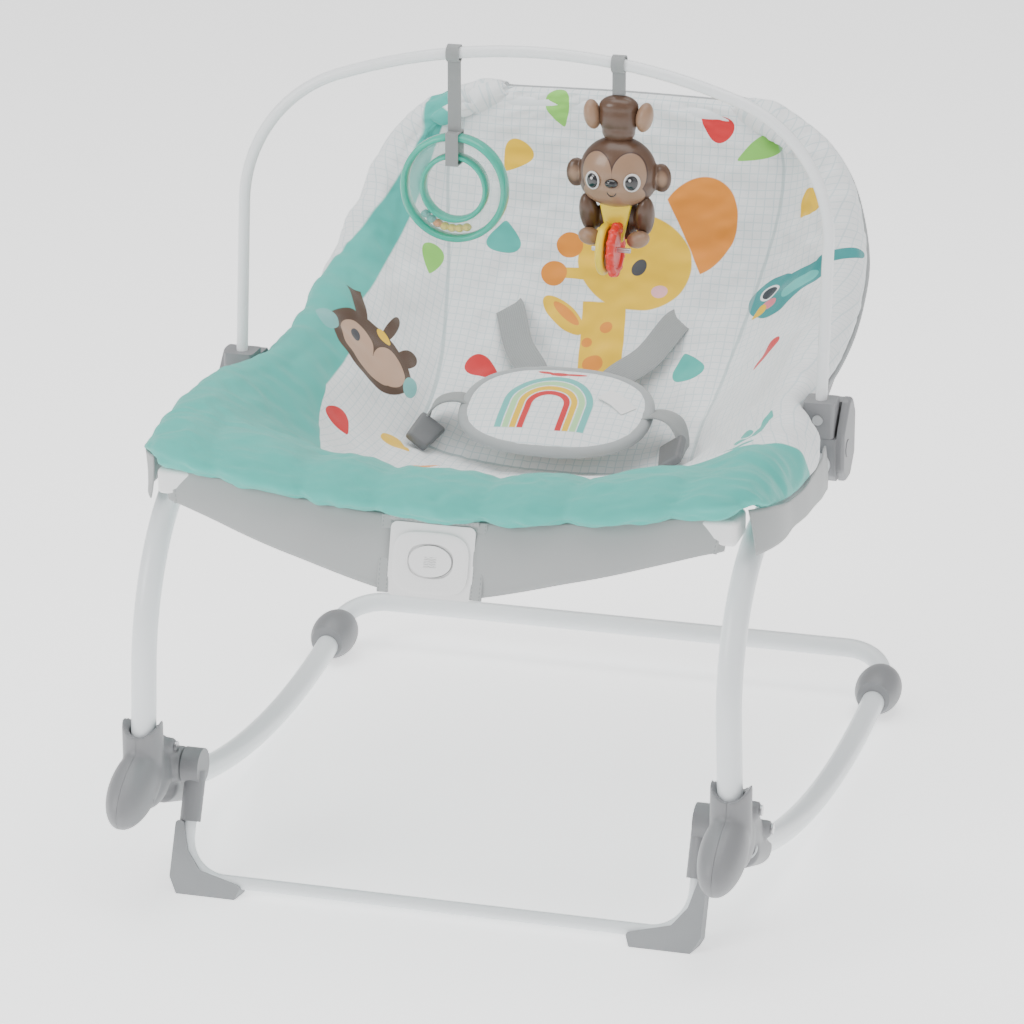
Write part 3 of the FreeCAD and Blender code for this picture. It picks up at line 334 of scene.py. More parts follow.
# The cloth map holds real lengths over the flat cover: across from its middle, and up from the
# front seam, so that the print and the weave keep their size.
flat = [vert.co.copy() for vert in cover_mesh.vertices]
cloth = [None] * len(flat)
along = 0.0
for line in range(LINES + 1):
    start = line * (COLUMNS + 1)
    middle = start + COLUMNS // 2
    along += (flat[middle] - flat[middle - COLUMNS - 1]).length if line else 0.0
    for step in (-1, 1):
        across = 0.0
        for column in range(COLUMNS // 2 + 1):
            here = middle + step * column
            across += (flat[here] - flat[here - step]).length if column else 0.0
            cloth[here] = (step * across, along)
cover_mesh.update()
normals = [vert.normal.copy() for vert in cover_mesh.vertices]
for vert, (u, v), normal in zip(cover_mesh.vertices, params, normals):
    puff = 1 - math.exp(-stitch_distance(u, v) / 0.012)
    ripple = noise.noise(Vector((u * 8, v * 1.7, 3))) * 0.0045
    ripple += noise.noise(Vector((u * 24, v * 4.5, 8))) * 0.0028
    crease = noise.noise(Vector((u * 60, v * 9, 2))) * 0.0021 * math.exp(-stitch_distance(u, v) / 0.03)
    fill = 0.0065 if v < ROLL_END else 0.009
    vert.co += normal * (fill * puff + ripple * puff + crease)
cloth_map = cover_mesh.uv_layers[0]
cloth_map.name = "cloth"
seam_map = cover_mesh.uv_layers.new(name="seams")
for loop in cover_mesh.loops:
    cloth_map.data[loop.index].uv = cloth[loop.vertex_index]
    seam_map.data[loop.index].uv = params[loop.vertex_index]


def finish_with(piece, *modifiers):
    """Add modifiers as (type, settings) and apply them in turn."""
    bpy.ops.object.select_all(action="DESELECT")
    bpy.context.view_layer.objects.active = piece
    piece.select_set(True)
    for kind, settings in modifiers:
        modifier = piece.modifiers.new(kind.lower(), kind)
        for key, value in settings.items():
            setattr(modifier, key, value)
        bpy.ops.object.modifier_apply(modifier=modifier.name)


finish_with(cover, ("SOLIDIFY", {"thickness": 0.009, "offset": -1.0}),
            ("SUBSURF", {"levels": 1, "render_levels": 1}))
bpy.ops.object.shade_smooth()


class Print(Finish):
    """A woven cloth whose printed shapes are laid out in millimetres on the piece's cloth map."""

    def __init__(self, name, colour, **fixed):
        super().__init__(name, colour, 0.78, sheen_weight=0.25, sheen_roughness=0.5, **fixed)
        cloth = self.start.node("ShaderNodeUVMap", {"uv_map": "cloth"})
        self.x = cloth.node("ShaderNodeSeparateXYZ", i0=cloth) * 1000.0
        self.y = cloth.node("ShaderNodeSeparateXYZ", output=1, i0=cloth) * 1000.0
        self.ink = self.x * 0.0
        self.colour = mix(self.ink, colour, colour)

    def paint(self, mask, colour):
        self.colour = mix(mask, self.colour, colour)

    def spot(self, x, y, half_x, half_y, turn=0, taper=0.0, square=False):
        """An oval, a drop where it tapers, or a block, turned by some degrees."""
        c, s = math.cos(math.radians(turn)), math.sin(math.radians(turn))
        wide = ((self.x - x) * c + (self.y - y) * s) * (1 / half_x)
        high = ((self.y - y) * c - (self.x - x) * s) * (1 / half_y)
        if taper:
            wide = wide / (1 - high * taper)
        if square:
            return (wide.math("ABSOLUTE") | high.math("ABSOLUTE")).below(1.0, 0.03)
        return (wide * wide + high * high).below(1.0, 0.04)

    def grid(self, pitch, colour, strength):
        """A hand-drawn check of thin lines."""
        drift = self.start.node("ShaderNodeTexNoise", Vector=self.place(), Scale=25.0) * 1.6
        rules = [((line + drift) * (1 / pitch)).math("FRACT").math("SUBTRACT", 0.5).math("ABSOLUTE")
                 .below(0.06, 0.03) for line in (self.x, self.y)]
        self.paint((rules[0] | rules[1]) * strength, colour)

    def weave(self, depth=0.00012):
        """Fine crossed threads, with a slight change of tone from patch to patch."""
        threads = self.x.wave(0.9) * self.y.wave(0.9)
        slubs = self.speckle(30.0, 4.0)
        self.bump(threads * 0.5 + slubs * 2.0, depth, 0.6)
        tone = (self.speckle(14.0) - 0.5) * 0.1 + 0.97
        shade = self.colour.node("ShaderNodeVectorMath", {"operation": "SCALE"}, i0=self.colour, i3=tone)
        self.feed("Base Color", shade)
        self.feed("Roughness", slubs * 0.12 + 0.7)


TEAL = (0.055, 0.45, 0.385)
YELLOW = (0.85, 0.52, 0.01)
ORANGE = (0.76, 0.25, 0.015)
RED = (0.62, 0.015, 0.02)
GREEN = (0.24, 0.62, 0.1)
BROWN = (0.075, 0.038, 0.02)
TAN = (0.5, 0.32, 0.22)

printed = Print("printed_polyester", (0.85, 0.87, 0.875))
printed.grid(7.0, (0.5, 0.64, 0.67), 0.55)
rise = (printed.y - 440).math("MAXIMUM", 0.0)
left_arm = (printed.x - rise * 0.24 + 207).below(0.0, 1.5)
left_arm = left_arm & (1 - (printed.x - rise * 0.33 + 245).below(0.0, 1.5))
on_left = printed.x.below(0.0, 1.0)
squared = printed.x * printed.x
roll = (printed.y - squared * 0.0016).below(66.0, 1.5)
roll = roll | ((printed.y - squared * 0.0062).below(66.0, 1.5) & on_left)
printed.paint(roll | left_arm | ((1 - printed.x.below(-260.0, 1.0)) & printed.x.below(-200.0, 1.5)
                                 & printed.y.below(440.0, 1.5)), TEAL)
# A tall spotted animal up the middle, a small brown one on the left wing and a bird on the right.
printed.paint(printed.spot(9.5, 508, 18.5, 36, 6, square=True) | printed.spot(26, 580, 50, 42, -20)
              | printed.spot(-27, 528, 10, 24, 50) | printed.spot(-22, 566, 18, 5, square=True)
              | printed.spot(-17, 591, 14, 5, square=True), YELLOW)
ear = printed.spot(74, 612, 34, 45, -14) & (1 - (printed.x * 1.78 + printed.y).below(720.0, 1.5))
printed.paint(printed.spot(-31, 591, 11, 11) | printed.spot(-41, 565, 11, 11)
              | printed.spot(-25, 530, 4.5, 16, 50)
              | printed.spot(11, 520, 5.5, 5.5) | printed.spot(-3, 505, 4.5, 4.5) | printed.spot(6, 485, 9, 8)
              | ear, ORANGE)
printed.paint(printed.spot(30, 576, 6, 8, -20), (0.05, 0.05, 0.06))
printed.paint(printed.spot(50, 556, 7, 6), (0.8, 0.42, 0.45))
printed.paint(printed.spot(-182, 402, 44, 33, 8) | printed.spot(-205, 438, 7, 20, 25, square=True)
              | printed.spot(-172, 446, 5, 22, -12) | printed.spot(-150, 430, 8, 16, -30), BROWN)
printed.paint(printed.spot(-197, 398, 18, 21, 10) | printed.spot(-162, 404, 17, 19, 10)
              | printed.spot(-180, 388, 26, 12, 8), TAN)
printed.paint(printed.spot(-226, 392, 9, 13) | printed.spot(-138, 404, 7, 12), (0.17, 0.48, 0.46))
printed.paint(printed.spot(-200, 404, 5, 6.5), (0.05, 0.05, 0.06))
printed.paint(printed.spot(-176, 431, 8, 5, -20), YELLOW)
printed.paint(printed.spot(172, 541, 36, 19, 14) | printed.spot(152, 545, 25, 20)
              | printed.spot(207, 561, 22, 7, 30), (0.025, 0.27, 0.27))
printed.paint(printed.spot(148, 549, 10, 8), (0.8, 0.84, 0.84))
printed.paint(printed.spot(148, 549, 7.5, 6), (0.02, 0.03, 0.04))
printed.paint(printed.spot(150, 536, 8, 4.5), (0.75, 0.2, 0.25))
printed.paint(printed.spot(181, 541, 17, 9, 20), (0.1, 0.5, 0.46))
# Falling drops.
for x, y, half_x, half_y, turn, colour in (
        (-49, 705, 9, 15, 200, GREEN), (-84, 662, 11, 15, 150, YELLOW), (-87, 592, 13, 14, 0, TEAL),
        (-146, 558, 9, 16, 180, GREEN), (84, 700, 10, 15, 60, RED), (121, 682, 9, 20, 120, GREEN),
        (174, 627, 13, 13, 130, YELLOW), (176, 451, 7, 17, 150, RED), (88, 483, 12, 15, 20, TEAL),
        (-83, 463, 11, 16, 250, RED), (-171, 294, 10, 15, 240, RED), (-124, 329, 9, 15, 250, YELLOW),
        (-22, 78, 12, 9, 0, ORANGE), (140, 532, 4, 8, 120, YELLOW), (-100, 250, 10, 16, 30, GREEN),
        (60, 300, 10, 14, 200, YELLOW), (-40, 230, 9, 14, 160, RED)):
    printed.paint(printed.spot(x, y, half_x, half_y, turn, 0.0 if colour is ORANGE else 0.62), colour)
for step in range(6):
    printed.paint(printed.spot(205 + 5 * step, 158 + 19 * step, 5, 17, -75 + 12 * step, 0.5)
                  | printed.spot(188 + 4 * step, 166 + 19 * step, 5, 14, 60 - 8 * step, 0.5), TEAL)
# A sewn line down each side of the back and one across its foot, painted darker than the cloth: the seam's
# own thread line together with painted shade in the groove the stitching pulls into the padding.
place = printed.start.node("ShaderNodeUVMap", {"uv_map": "seams"})
seam_u = place.node("ShaderNodeSeparateXYZ", i0=place).math("ABSOLUTE")
seam_v = place.node("ShaderNodeSeparateXYZ", output=1, i0=place)
on_back = 1 - seam_v.below(BACK_START, 0.02)
side_seam_shade = (seam_u - 0.5).math("ABSOLUTE").below(0.006, 0.004) & on_back
cross_seam_shade = (seam_v - BACK_START).math("ABSOLUTE").below(0.03, 0.02) & seam_u.below(0.5, 0.01)
# The seam lines carry painted shade for their grooves as well as the thread.
printed.paint((side_seam_shade | cross_seam_shade) * 0.55, (0.3, 0.42, 0.43))
printed.weave()
cover_mesh.materials.append(printed.material)
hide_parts("seat_pad", "back_pad")
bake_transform(cover)


# ---- Skirts ----
# Single grey polyester hung from the cover's front and side seams, hemmed and double-stitched. The
# front one has a bound window for the vibration unit, and the side ones wrap round the corners.

skirt_cloth = Print("skirt_polyester", (0.37, 0.385, 0.385))
skirt_cloth.weave(0.00008)


def sheet_between(name, top, bottom, columns, lines, billow=0.0):
    """A hanging sheet from a row of top points to a row of bottom points, with a little billow."""
    bpy.ops.object.select_all(action="DESELECT")
    bpy.ops.mesh.primitive_grid_add(x_subdivisions=columns, y_subdivisions=lines, size=2)
    piece = bpy.context.object
    piece.name = name
    cloth = {}
    for vert in piece.data.vertices:
        across, down = (vert.co.x + 1) / 2, (1 - vert.co.y) / 2
        high = spline(top, across * (len(top) - 1))
        low = spline(bottom, across * (len(bottom) - 1))
        cloth[vert.index] = (across * (top[0] - top[-1]).length, -down * (high - low).length)
        vert.co = high.lerp(low, down)
    piece.data.update()
    normals = [vert.normal.copy() for vert in piece.data.vertices]
    for vert, normal in zip(piece.data.vertices, normals):
        across, down = cloth[vert.index]
        wobble = noise.noise(Vector((across * 30, down * 12, len(name)))) * 0.0014
        vert.co += normal * (billow * math.sin(math.pi * min(1, -down / 0.05)) + wobble)
    uv = piece.data.uv_layers[0]
    uv.name = "cloth"
    for loop in piece.data.loops:
        uv.data[loop.index].uv = cloth[loop.vertex_index]
    return piece


def hub_points(*rows):
    """Points given in millimetres from the line of the legs."""
    return [Vector((x, y, z)) / 1000 + Vector((0, leg_y, 0)) for x, y, z in rows]


SKIRT_THICK = 0.0012


def declare_sheet(piece):
    """Thicken a hanging sheet and shade it smooth."""
    finish_with(piece, ("SOLIDIFY", {"thickness": SKIRT_THICK, "offset": 0.0}))
    bpy.ops.object.shade_smooth()


WINDOW = 0.0315
skirt_top = [(-214, 37, 327), (-190, 29, 325), (-110, 18, 317), (0, 13, 311), (110, 18, 317), (190, 29, 325),
             (214, 37, 327)]
skirt_low = [(-210, 33, 300), (-186, 25, 295), (-108, 6, 275), (0, -5, 255), (108, 6, 275), (186, 25, 295),
             (210, 33, 300)]
front_skirt = sheet_between("front_skirt_cloth", hub_points(*skirt_top), hub_points(*skirt_low),
                            120, 16, 0.003)
face = front_skirt.data
snap = min((abs(abs(vert.co.x) - WINDOW), abs(vert.co.x)) for vert in face.vertices)[1]
for vert in face.vertices:
    if abs(abs(vert.co.x) - snap) < 0.0015:
        vert.co.x = math.copysign(WINDOW, vert.co.x)
bpy.context.view_layer.objects.active = front_skirt
window = [polygon.index for polygon in face.polygons
          if abs(polygon.center.x) < WINDOW and polygon.center.z < 0.305]
bpy.ops.object.mode_set(mode="EDIT")
bpy.ops.mesh.select_mode(type="FACE")
bpy.ops.mesh.select_all(action="DESELECT")
bpy.ops.object.mode_set(mode="OBJECT")
for index in window:
    face.polygons[index].select = True
bpy.ops.object.mode_set(mode="EDIT")
bpy.ops.mesh.delete(type="FACE")
bpy.ops.object.mode_set(mode="OBJECT")
front_skirt.data.materials.append(skirt_cloth.material)
declare_sheet(front_skirt)
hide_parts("front_skirt")
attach(front_skirt, "root")

for side, name in ((-1, "left"), (1, "right")):
    top = hub_points(*[(side * x, y, z) for x, y, z in ((226, 40, 330), (240, 62, 327), (244, 104, 318),
                                                        (245, 150, 316), (244, 200, 315), (240, 238, 316))])
    low = hub_points(*[(side * x, y, z) for x, y, z in ((231, 40, 296), (240, 62, 297), (243, 104, 296),
                                                        (244, 150, 292), (243, 200, 286), (240, 240, 281))])
    piece = sheet_between(f"side_skirt_cloth_{name}", top, low, 60, 12, 0.002)
    piece.data.materials.append(skirt_cloth.material)
    declare_sheet(piece)
    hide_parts(f"side_skirt_{name}")
    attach(piece, "root")

# Hems: folded bands along the window's sides and top and the front skirt's ends, each sewn flat.
binding = Print("grey_binding", (0.36, 0.38, 0.385))
binding.weave(0.00012)


def band(name, line, width, normal, material, body, thickness=0.0016):
    """A flat folded strip along a line, with its width at right angles to the line and the normal."""
    bpy.ops.object.select_all(action="DESELECT")
    bpy.ops.mesh.primitive_grid_add(x_subdivisions=4, y_subdivisions=48, size=2)
    piece = bpy.context.object
    piece.name = name
    length = sum((b - a).length for a, b in zip(line, line[1:]))
    uv = piece.data.uv_layers[0]
    uv.name = "cloth"
    spots = [((vert.co.x) / 2 * width, (vert.co.y + 1) / 2) for vert in piece.data.vertices]
    for loop in piece.data.loops:
        across, share = spots[loop.vertex_index]
        uv.data[loop.index].uv = (across, share * length)
    last = len(line) - 1
    for vert, (across, share) in zip(piece.data.vertices, spots):
        here = spline(line, share * last)
        ahead = spline(line, min(share + 0.01, 1) * last) - spline(line, max(share - 0.01, 0) * last)
        face_way = normal(share) if callable(normal) else normal
        vert.co = here + ahead.cross(face_way).normalized() * across
    piece.data.materials.append(material)
    finish_with(piece, ("SOLIDIFY", {"thickness": thickness, "offset": 0.0}),
                ("BEVEL", {"width": thickness * 0.35, "segments": 2}))
    bpy.ops.object.shade_smooth()
    bpy.ops.object.mode_set(mode="EDIT")
    bpy.ops.mesh.select_all(action="SELECT")
    bpy.ops.mesh.normals_make_consistent(inside=False)
    bpy.ops.object.mode_set(mode="OBJECT")
    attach(piece, body)
    return piece


FRONT = Vector((0, -1, -0.28))
hem_cloth = Print("hem_cloth", (0.37, 0.385, 0.385))
row_away = (hem_cloth.x.math("ABSOLUTE") - 3.0).math("ABSOLUTE").below(0.4, 0.2)
hem_cloth.paint(row_away & (hem_cloth.y.wave(3.2) * 3.0 + 1.0).math("MAXIMUM", 0.0), (0.27, 0.29, 0.29))
hem_cloth.weave(0.00008)
for side, name in ((-1, "left"), (1, "right")):
    window_side = hub_points((side * 35.5, 13, 311), (side * 35.5, 4, 284), (side * 35, -5, 257))
    band(f"window_hem_{name}", window_side, 0.009, FRONT, hem_cloth.material, "root", 0.0032)
    skirt_end = hub_points((side * 205, 32, 325), (side * 203, 30, 312), (side * 201, 28, 299))
    band(f"end_hem_{name}", skirt_end, 0.010, FRONT, hem_cloth.material, "root", 0.0036)
band("window_hem_top", hub_points((-34, 12, 308), (0, 11, 306), (34, 12, 308)), 0.009, FRONT,
     hem_cloth.material, "root", 0.003)


# ---- Crotch pad ----
# A padded oval of the printed cloth with grey bias binding round its edge. It stands on the
# webbing in the middle of the seat and tips forward a little.

pad_low, pad_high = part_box("crotch_pad")
pad_middle = (pad_low + pad_high) / 2
PAD_TILT = Matrix.Rotation(math.radians(21), 4, "X")
PAD_X, PAD_Y = (pad_high.x - pad_low.x) / 2, 0.052


def pad_outline(angle, scale=1.0):
    """The pad's rounded outline, fuller than an oval."""
    c, s = math.cos(angle), math.sin(angle)
    reach = (abs(c) ** 2.5 + abs(s) ** 2.5) ** (-1 / 2.5)
    return Vector((c * reach * PAD_X * scale, s * reach * PAD_Y * scale, 0))


def on_pad(point):
    return PAD_TILT @ point + pad_middle


bpy.ops.object.select_all(action="DESELECT")
bpy.ops.mesh.primitive_uv_sphere_add(segments=96, ring_count=64, radius=1)
crotch = bpy.context.object
crotch.name = "crotch_cushion"
crotch_uv = crotch.data.uv_layers[0]
crotch_uv.name = "cloth"
flat_pad = {}
for vert in crotch.data.vertices:
    reach = min(1.0, math.hypot(vert.co.x, vert.co.y))
    rim = pad_outline(math.atan2(vert.co.y, vert.co.x), reach ** 0.8)
    crown = (1 - reach ** 3) ** 0.6 * 0.0085
    crown += noise.noise(rim * 45) * 0.0012 * (1 - reach ** 4)
    flat_pad[vert.index] = (rim.x, rim.y)
    vert.co = on_pad(rim + Vector((0, 0, math.copysign(crown, vert.co.z) + 0.001)))
for loop in crotch.data.loops:
    crotch_uv.data[loop.index].uv = flat_pad[loop.vertex_index]
bpy.ops.object.shade_smooth()

pad_print = Print("pad_print", (0.85, 0.87, 0.875))
pad_print.grid(7.0, (0.5, 0.64, 0.67), 0.55)
ARCH_X, ARCH_Y = -6.0, -2.0
up = (pad_print.y - ARCH_Y).math("MAXIMUM", 0.0)
out = pad_print.x - ARCH_X
arch_reach = (out * out + up * up).math("SQRT")
above_feet = 1 - pad_print.y.below(-32.0, 0.6)
RAINBOW = ((31, 36.5, (0.13, 0.5, 0.46)), (25, 30, (0.42, 0.72, 0.35)), (19, 24, YELLOW), (13, 18, RED))
for near, far, colour in RAINBOW:
    pad_print.paint(arch_reach.below(far, 0.5) & (1 - arch_reach.below(near, 0.5)) & above_feet, colour)
pad_print.paint(pad_print.spot(-6, 39, 8, 3) | pad_print.spot(6, 40, 10, 2, 8)
                | pad_print.spot(-18, 41, 7, 2, 170), RED)
pad_print.weave()
crotch.data.materials.append(pad_print.material)
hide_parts("crotch_pad")
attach(crotch, "backrest")

bpy.ops.object.select_all(action="DESELECT")
bpy.ops.mesh.primitive_torus_add(major_segments=120, minor_segments=12, major_radius=1, minor_radius=0.1)
edge = bpy.context.object
edge.name = "crotch_binding"
edge_uv = edge.data.uv_layers[0]
edge_uv.name = "cloth"
wrapped = {}
for vert in edge.data.vertices:
    angle = math.atan2(vert.co.y, vert.co.x)
    out = (math.hypot(vert.co.x, vert.co.y) - 1) * 10
    up = vert.co.z * 10
    line = pad_outline(angle, 0.955)
    outward = (pad_outline(angle, 1.1) - line).normalized()
    pucker = 1 + noise.noise(Vector((angle * 9, 1, 4))) * 0.14
    wrapped[vert.index] = (angle * 0.06, math.atan2(up, out) * 0.004)
    vert.co = on_pad(line + outward * out * 0.0052 + Vector((0, 0, 0.001 + up * 0.0046 * pucker)))
for loop in edge.data.loops:
    edge_uv.data[loop.index].uv = wrapped[loop.vertex_index]
bpy.ops.object.shade_smooth()
edge.data.materials.append(binding.material)
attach(edge, "backrest")

label_cloth = Print("blank_label", (0.85, 0.85, 0.84))
label_cloth.weave(0.00005)
label_line = [on_pad(Vector((0.036, 0.017, 0.0102))), on_pad(Vector((0.048, 0.010, 0.0095))),
              on_pad(Vector((0.060, 0.000, 0.0077)))]
band("blank_label", label_line, 0.015, PAD_TILT @ Vector((0.2, 0, 1)), label_cloth.material,
     "backrest", 0.0006)


# ---- Webbing ----
# Flat grey polyester webbing, 24 mm wide. Two straps come out of slots in the back, and two loop
# from the sides of the crotch pad down to slots in the seat, where their buckles lie.

class Webbing(Print):
    def ribs(self):
        """Small staggered picks across the tape."""
        row = self.y.wave(2.2)
        pick = (self.x + row * 0.4).wave(1.7)
        self.bump(pick * row * 0.5 + self.speckle(400.0) * 0.3, 0.0004, 0.8)
        tone = pick * row * 0.12 + 0.95
        shade = self.colour.node("ShaderNodeVectorMath", {"operation": "SCALE"}, i0=self.colour, i3=tone)
        self.feed("Base Color", shade)


tape = Webbing("grey_webbing", (0.3, 0.315, 0.315))
tape.ribs()
BACK_FACE = Vector((0, -0.72, 0.69))
for side, name in ((-1, "left"), (1, "right")):
    band(f"upper_strap_{name}", hub_points((side * 26, 388, 294), (side * 36, 404, 303),
                                                         (side * 54, 428, 314), (side * 69, 457, 334),
                                                         (side * 74, 466, 334)),
                       0.024, BACK_FACE, tape.material, "backrest", 0.0016)
    band(f"lower_strap_{name}", hub_points((side * 66, 352, 287), (side * 82, 350, 292),
                                                         (side * 97, 345, 289), (side * 105, 340, 276),
                                                         (side * 106, 336, 262)),
                       0.024, lambda share, side=side: Vector((side * share ** 2, 0, 1.1 - share)),
                       tape.material, "backrest", 0.0018)
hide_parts("harness_straps")

buckle_plastic = Finish("buckle_plastic", (0.13, 0.135, 0.14), 0.4)
buckle_plastic.mottle((0.11, 0.115, 0.12), (0.16, 0.165, 0.17), 40.0, 0.0002, (0.35, 0.5))
for side, name in ((-1, "left"), (1, "right")):
    bpy.ops.object.select_all(action="DESELECT")
    bpy.ops.mesh.primitive_cube_add(size=1)
    buckle = bpy.context.object
    buckle.name = f"buckle_{name}"
    for vert in buckle.data.vertices:
        waist = 0.82 if vert.co.y < 0 else 1.0
        vert.co = Vector((vert.co.x * 0.024 * waist, vert.co.y * 0.034, vert.co.z * 0.008))
    finish_with(buckle, ("BEVEL", {"width": 0.003, "segments": 3}))
    bpy.ops.object.mode_set(mode="EDIT")
    bpy.ops.mesh.select_all(action="SELECT")
    bpy.ops.mesh.subdivide(number_cuts=2)
    bpy.ops.object.mode_set(mode="OBJECT")
    turn = Matrix.Rotation(math.radians(-side * 35), 4, "Y") @ Matrix.Rotation(math.radians(15), 4, "X")
    spot = hub_points((side * 101, 318, 271))[0]
    for vert in buckle.data.vertices:
        vert.co = turn @ vert.co + spot
    finish_with(buckle, ("SUBSURF", {"levels": 1, "render_levels": 1}))
    bpy.ops.object.shade_smooth()
    buckle.data.materials.append(buckle_plastic.material)
    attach(buckle, "backrest")
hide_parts("harness_buckles")


# ---- Front hubs ----
# Each hub is two moulded halves round the foot of a leg: a collar with a saddle mouth, a big round
# nose that rests ahead of the rail, and a web down to the rail. The part line runs up its middle.

LEG_X = (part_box("front_hub_outer_right")[0].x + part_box("front_hub_inner_right")[1].x) / 2
GROOVE_DEEP, GROOVE_HALF = 0.0006, 0.0012


def placed(kind, turn=(0, 0, 0), half=(1, 1, 1), spot=(0, 0, 0), **settings):
    """A primitive given its half sizes and its place, in millimetres from the line of the legs."""
    bpy.ops.object.select_all(action="DESELECT")
    getattr(bpy.ops.mesh, f"primitive_{kind}_add")(**settings)
    piece = bpy.context.object
    rotation = Matrix.Identity(4)
    for axis, degrees in zip("XYZ", turn):
        rotation = Matrix.Rotation(math.radians(degrees), 4, axis) @ rotation
    middle = hub_points(spot)[0]
    for vert in piece.data.vertices:
        vert.co = rotation @ Vector([c * h / 1000 for c, h in zip(vert.co, half)]) + middle
    return piece


def ball(half, spot, turn=(0, 0, 0)):
    return placed("uv_sphere", turn, half, spot, segments=48, ring_count=32, radius=1)


def rod(radius, length, spot, turn=(0, 0, 0)):
    return placed("cylinder", turn, (radius, radius, length / 2), spot, vertices=64, radius=1, depth=2)


def fuse(name, pieces, voxel, smooth):
    """Run several closed shapes into one skin, then ease its joints."""
    bpy.ops.object.select_all(action="DESELECT")
    for piece in pieces:
        piece.select_set(True)
    bpy.context.view_layer.objects.active = pieces[0]
    bpy.ops.object.join()
    piece = bpy.context.object
    piece.name = name
    finish_with(piece, ("REMESH", {"mode": "VOXEL", "voxel_size": voxel}),
                ("SMOOTH", {"factor": 0.5, "iterations": smooth}))
    return piece


def cut_away(piece, tool):
    finish_with(piece, ("BOOLEAN", {"operation": "DIFFERENCE", "object": tool, "solver": "EXACT"}))
    bpy.data.objects.remove(tool)


for side, name in ((-1, "left"), (1, "right")):
    x = side * LEG_X * 1000
    hub = fuse(f"hub_{name}", [
        rod(15.5, 46, (x, 0, 112)), ball((17.5, 41, 22), (x, -22, 88), (20, 0, 0)),
        ball((15.5, 30, 26), (x, 8, 86), (-10, 0, 0)), ball((13.5, 52, 21), (x, 36, 84), (-38, 0, 0)),
        rod(14, 50, (x, 58, 59), (70, 0, 0)), rod(14, 18, (x - side * 11, 36, 86), (0, 90, 0)),
        rod(6.5, 30, (x + side * 0.8, 27, 104), (0, 90, 0)),
        rod(6.5, 30, (x + side * 0.8, 66, 73), (0, 90, 0)),
        rod(6, 16, (x - side * 8, 27, 104), (0, 90, 0))], 0.0016, 7)
    for vert in hub.data.vertices:
        near = abs(vert.co.x - side * LEG_X)
        vert.co -= vert.normal * GROOVE_DEEP * max(0.0, 1 - near / GROOVE_HALF)
    cut_away(hub, rod(15.5, 70, (x, 0, 140), (90, 0, 0)))
    cut_away(hub, rod(10, 70, (x, 0, 126)))
    cut_away(hub, rod(1.8, 12, (x - side * 15, -24, 80), (0, 90, 0)))
    finish_with(hub, ("REMESH", {"mode": "VOXEL", "voxel_size": 0.0014}),
                ("SMOOTH", {"factor": 0.5, "iterations": 3}))
    for half, outward in (("outer", side), ("inner", -side)):
        piece = hub.copy()
        piece.data = hub.data.copy()
        piece.name = f"hub_{half}_{name}"
        bpy.context.collection.objects.link(piece)
        bpy.ops.object.select_all(action="DESELECT")
        bpy.context.view_layer.objects.active = piece
        piece.select_set(True)
        bpy.ops.object.mode_set(mode="EDIT")
        bpy.ops.mesh.select_all(action="SELECT")
        bpy.ops.mesh.bisect(plane_co=(side * LEG_X + outward * 0.0001, 0, 0), plane_no=(-outward, 0, 0),
                            use_fill=True, clear_outer=True)
        bpy.ops.object.mode_set(mode="OBJECT")
        bpy.ops.object.shade_smooth_by_angle(angle=math.radians(35))
        piece.data.materials.append(moulded_grey.material)
        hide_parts(f"front_hub_{half}_{name}")
        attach(piece, "root")
    bpy.data.objects.remove(hub)


# ---- Vibration unit's face ----
# A raised D-shaped panel round the soft-edged button, in the same white plastic, with a few faint
# wavy lines moulded into the button.

UNIT_TURN = Matrix.Rotation(math.radians(-16), 4, "X")
unit_spot = hub_points((0, 1, 282))[0]


def soft_rectangle(angle, half_x, half_z, power):
    c, s = math.cos(angle), math.sin(angle)
    reach = (abs(c) ** power + abs(s) ** power) ** (-1 / power)
    return Vector((c * reach * half_x, 0, s * reach * half_z))


bpy.ops.object.select_all(action="DESELECT")
bpy.ops.mesh.primitive_torus_add(major_segments=128, minor_segments=20, major_radius=1, minor_radius=0.1)
panel = bpy.context.object
panel.name = "unit_panel"
for vert in panel.data.vertices:
    angle = math.atan2(vert.co.y, vert.co.x)
    out = max(-1, min(1, (math.hypot(vert.co.x, vert.co.y) - 1) * 14))
    up = max(-1, min(1, vert.co.z * 14))
    inner = soft_rectangle(angle, 0.0172, 0.0126, 2.6)
    outer = soft_rectangle(angle, 0.0285, 0.0225, 3.6) + Vector((0, 0, -0.0015))
    raised = Vector((0, -0.0004 - up * 0.0016, 0))
    vert.co = UNIT_TURN @ (inner.lerp(outer, (out + 1) / 2) + raised) + unit_spot
bpy.ops.object.mode_set(mode="EDIT")
bpy.ops.mesh.select_all(action="SELECT")
bpy.ops.mesh.normals_make_consistent(inside=False)
bpy.ops.object.mode_set(mode="OBJECT")
bpy.ops.object.shade_smooth_by_angle(angle=math.radians(40))
panel.data.materials.append(white_shell.material)
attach(panel, "root")

button_skin = Finish("button_skin", (0.84, 0.84, 0.84), 0.4)
spot = button_skin.place()
across = spot.node("ShaderNodeSeparateXYZ", i0=spot) * 1000
height = spot.node("ShaderNodeSeparateXYZ", output=2, i0=spot) * 1000 - 282
lines = (height + across.wave(4.5) * 0.35).wave(1.7).math("MAXIMUM", 0.0)
inside = across.math("ABSOLUTE").below(4.5, 1.0) & height.math("ABSOLUTE").below(3.6, 0.8)
button_skin.bump(lines * inside, 0.0008, 1.0)
button_skin.feed("Roughness", button_skin.speckle(60.0) * 0.1 + 0.35)
dress(button_skin, "vibration_button")


# ---- Toy straps ----
# Narrow grey tape, looped over the bar and sewn. It has no map of its own, so its ribs follow the
# toy's own height and width.

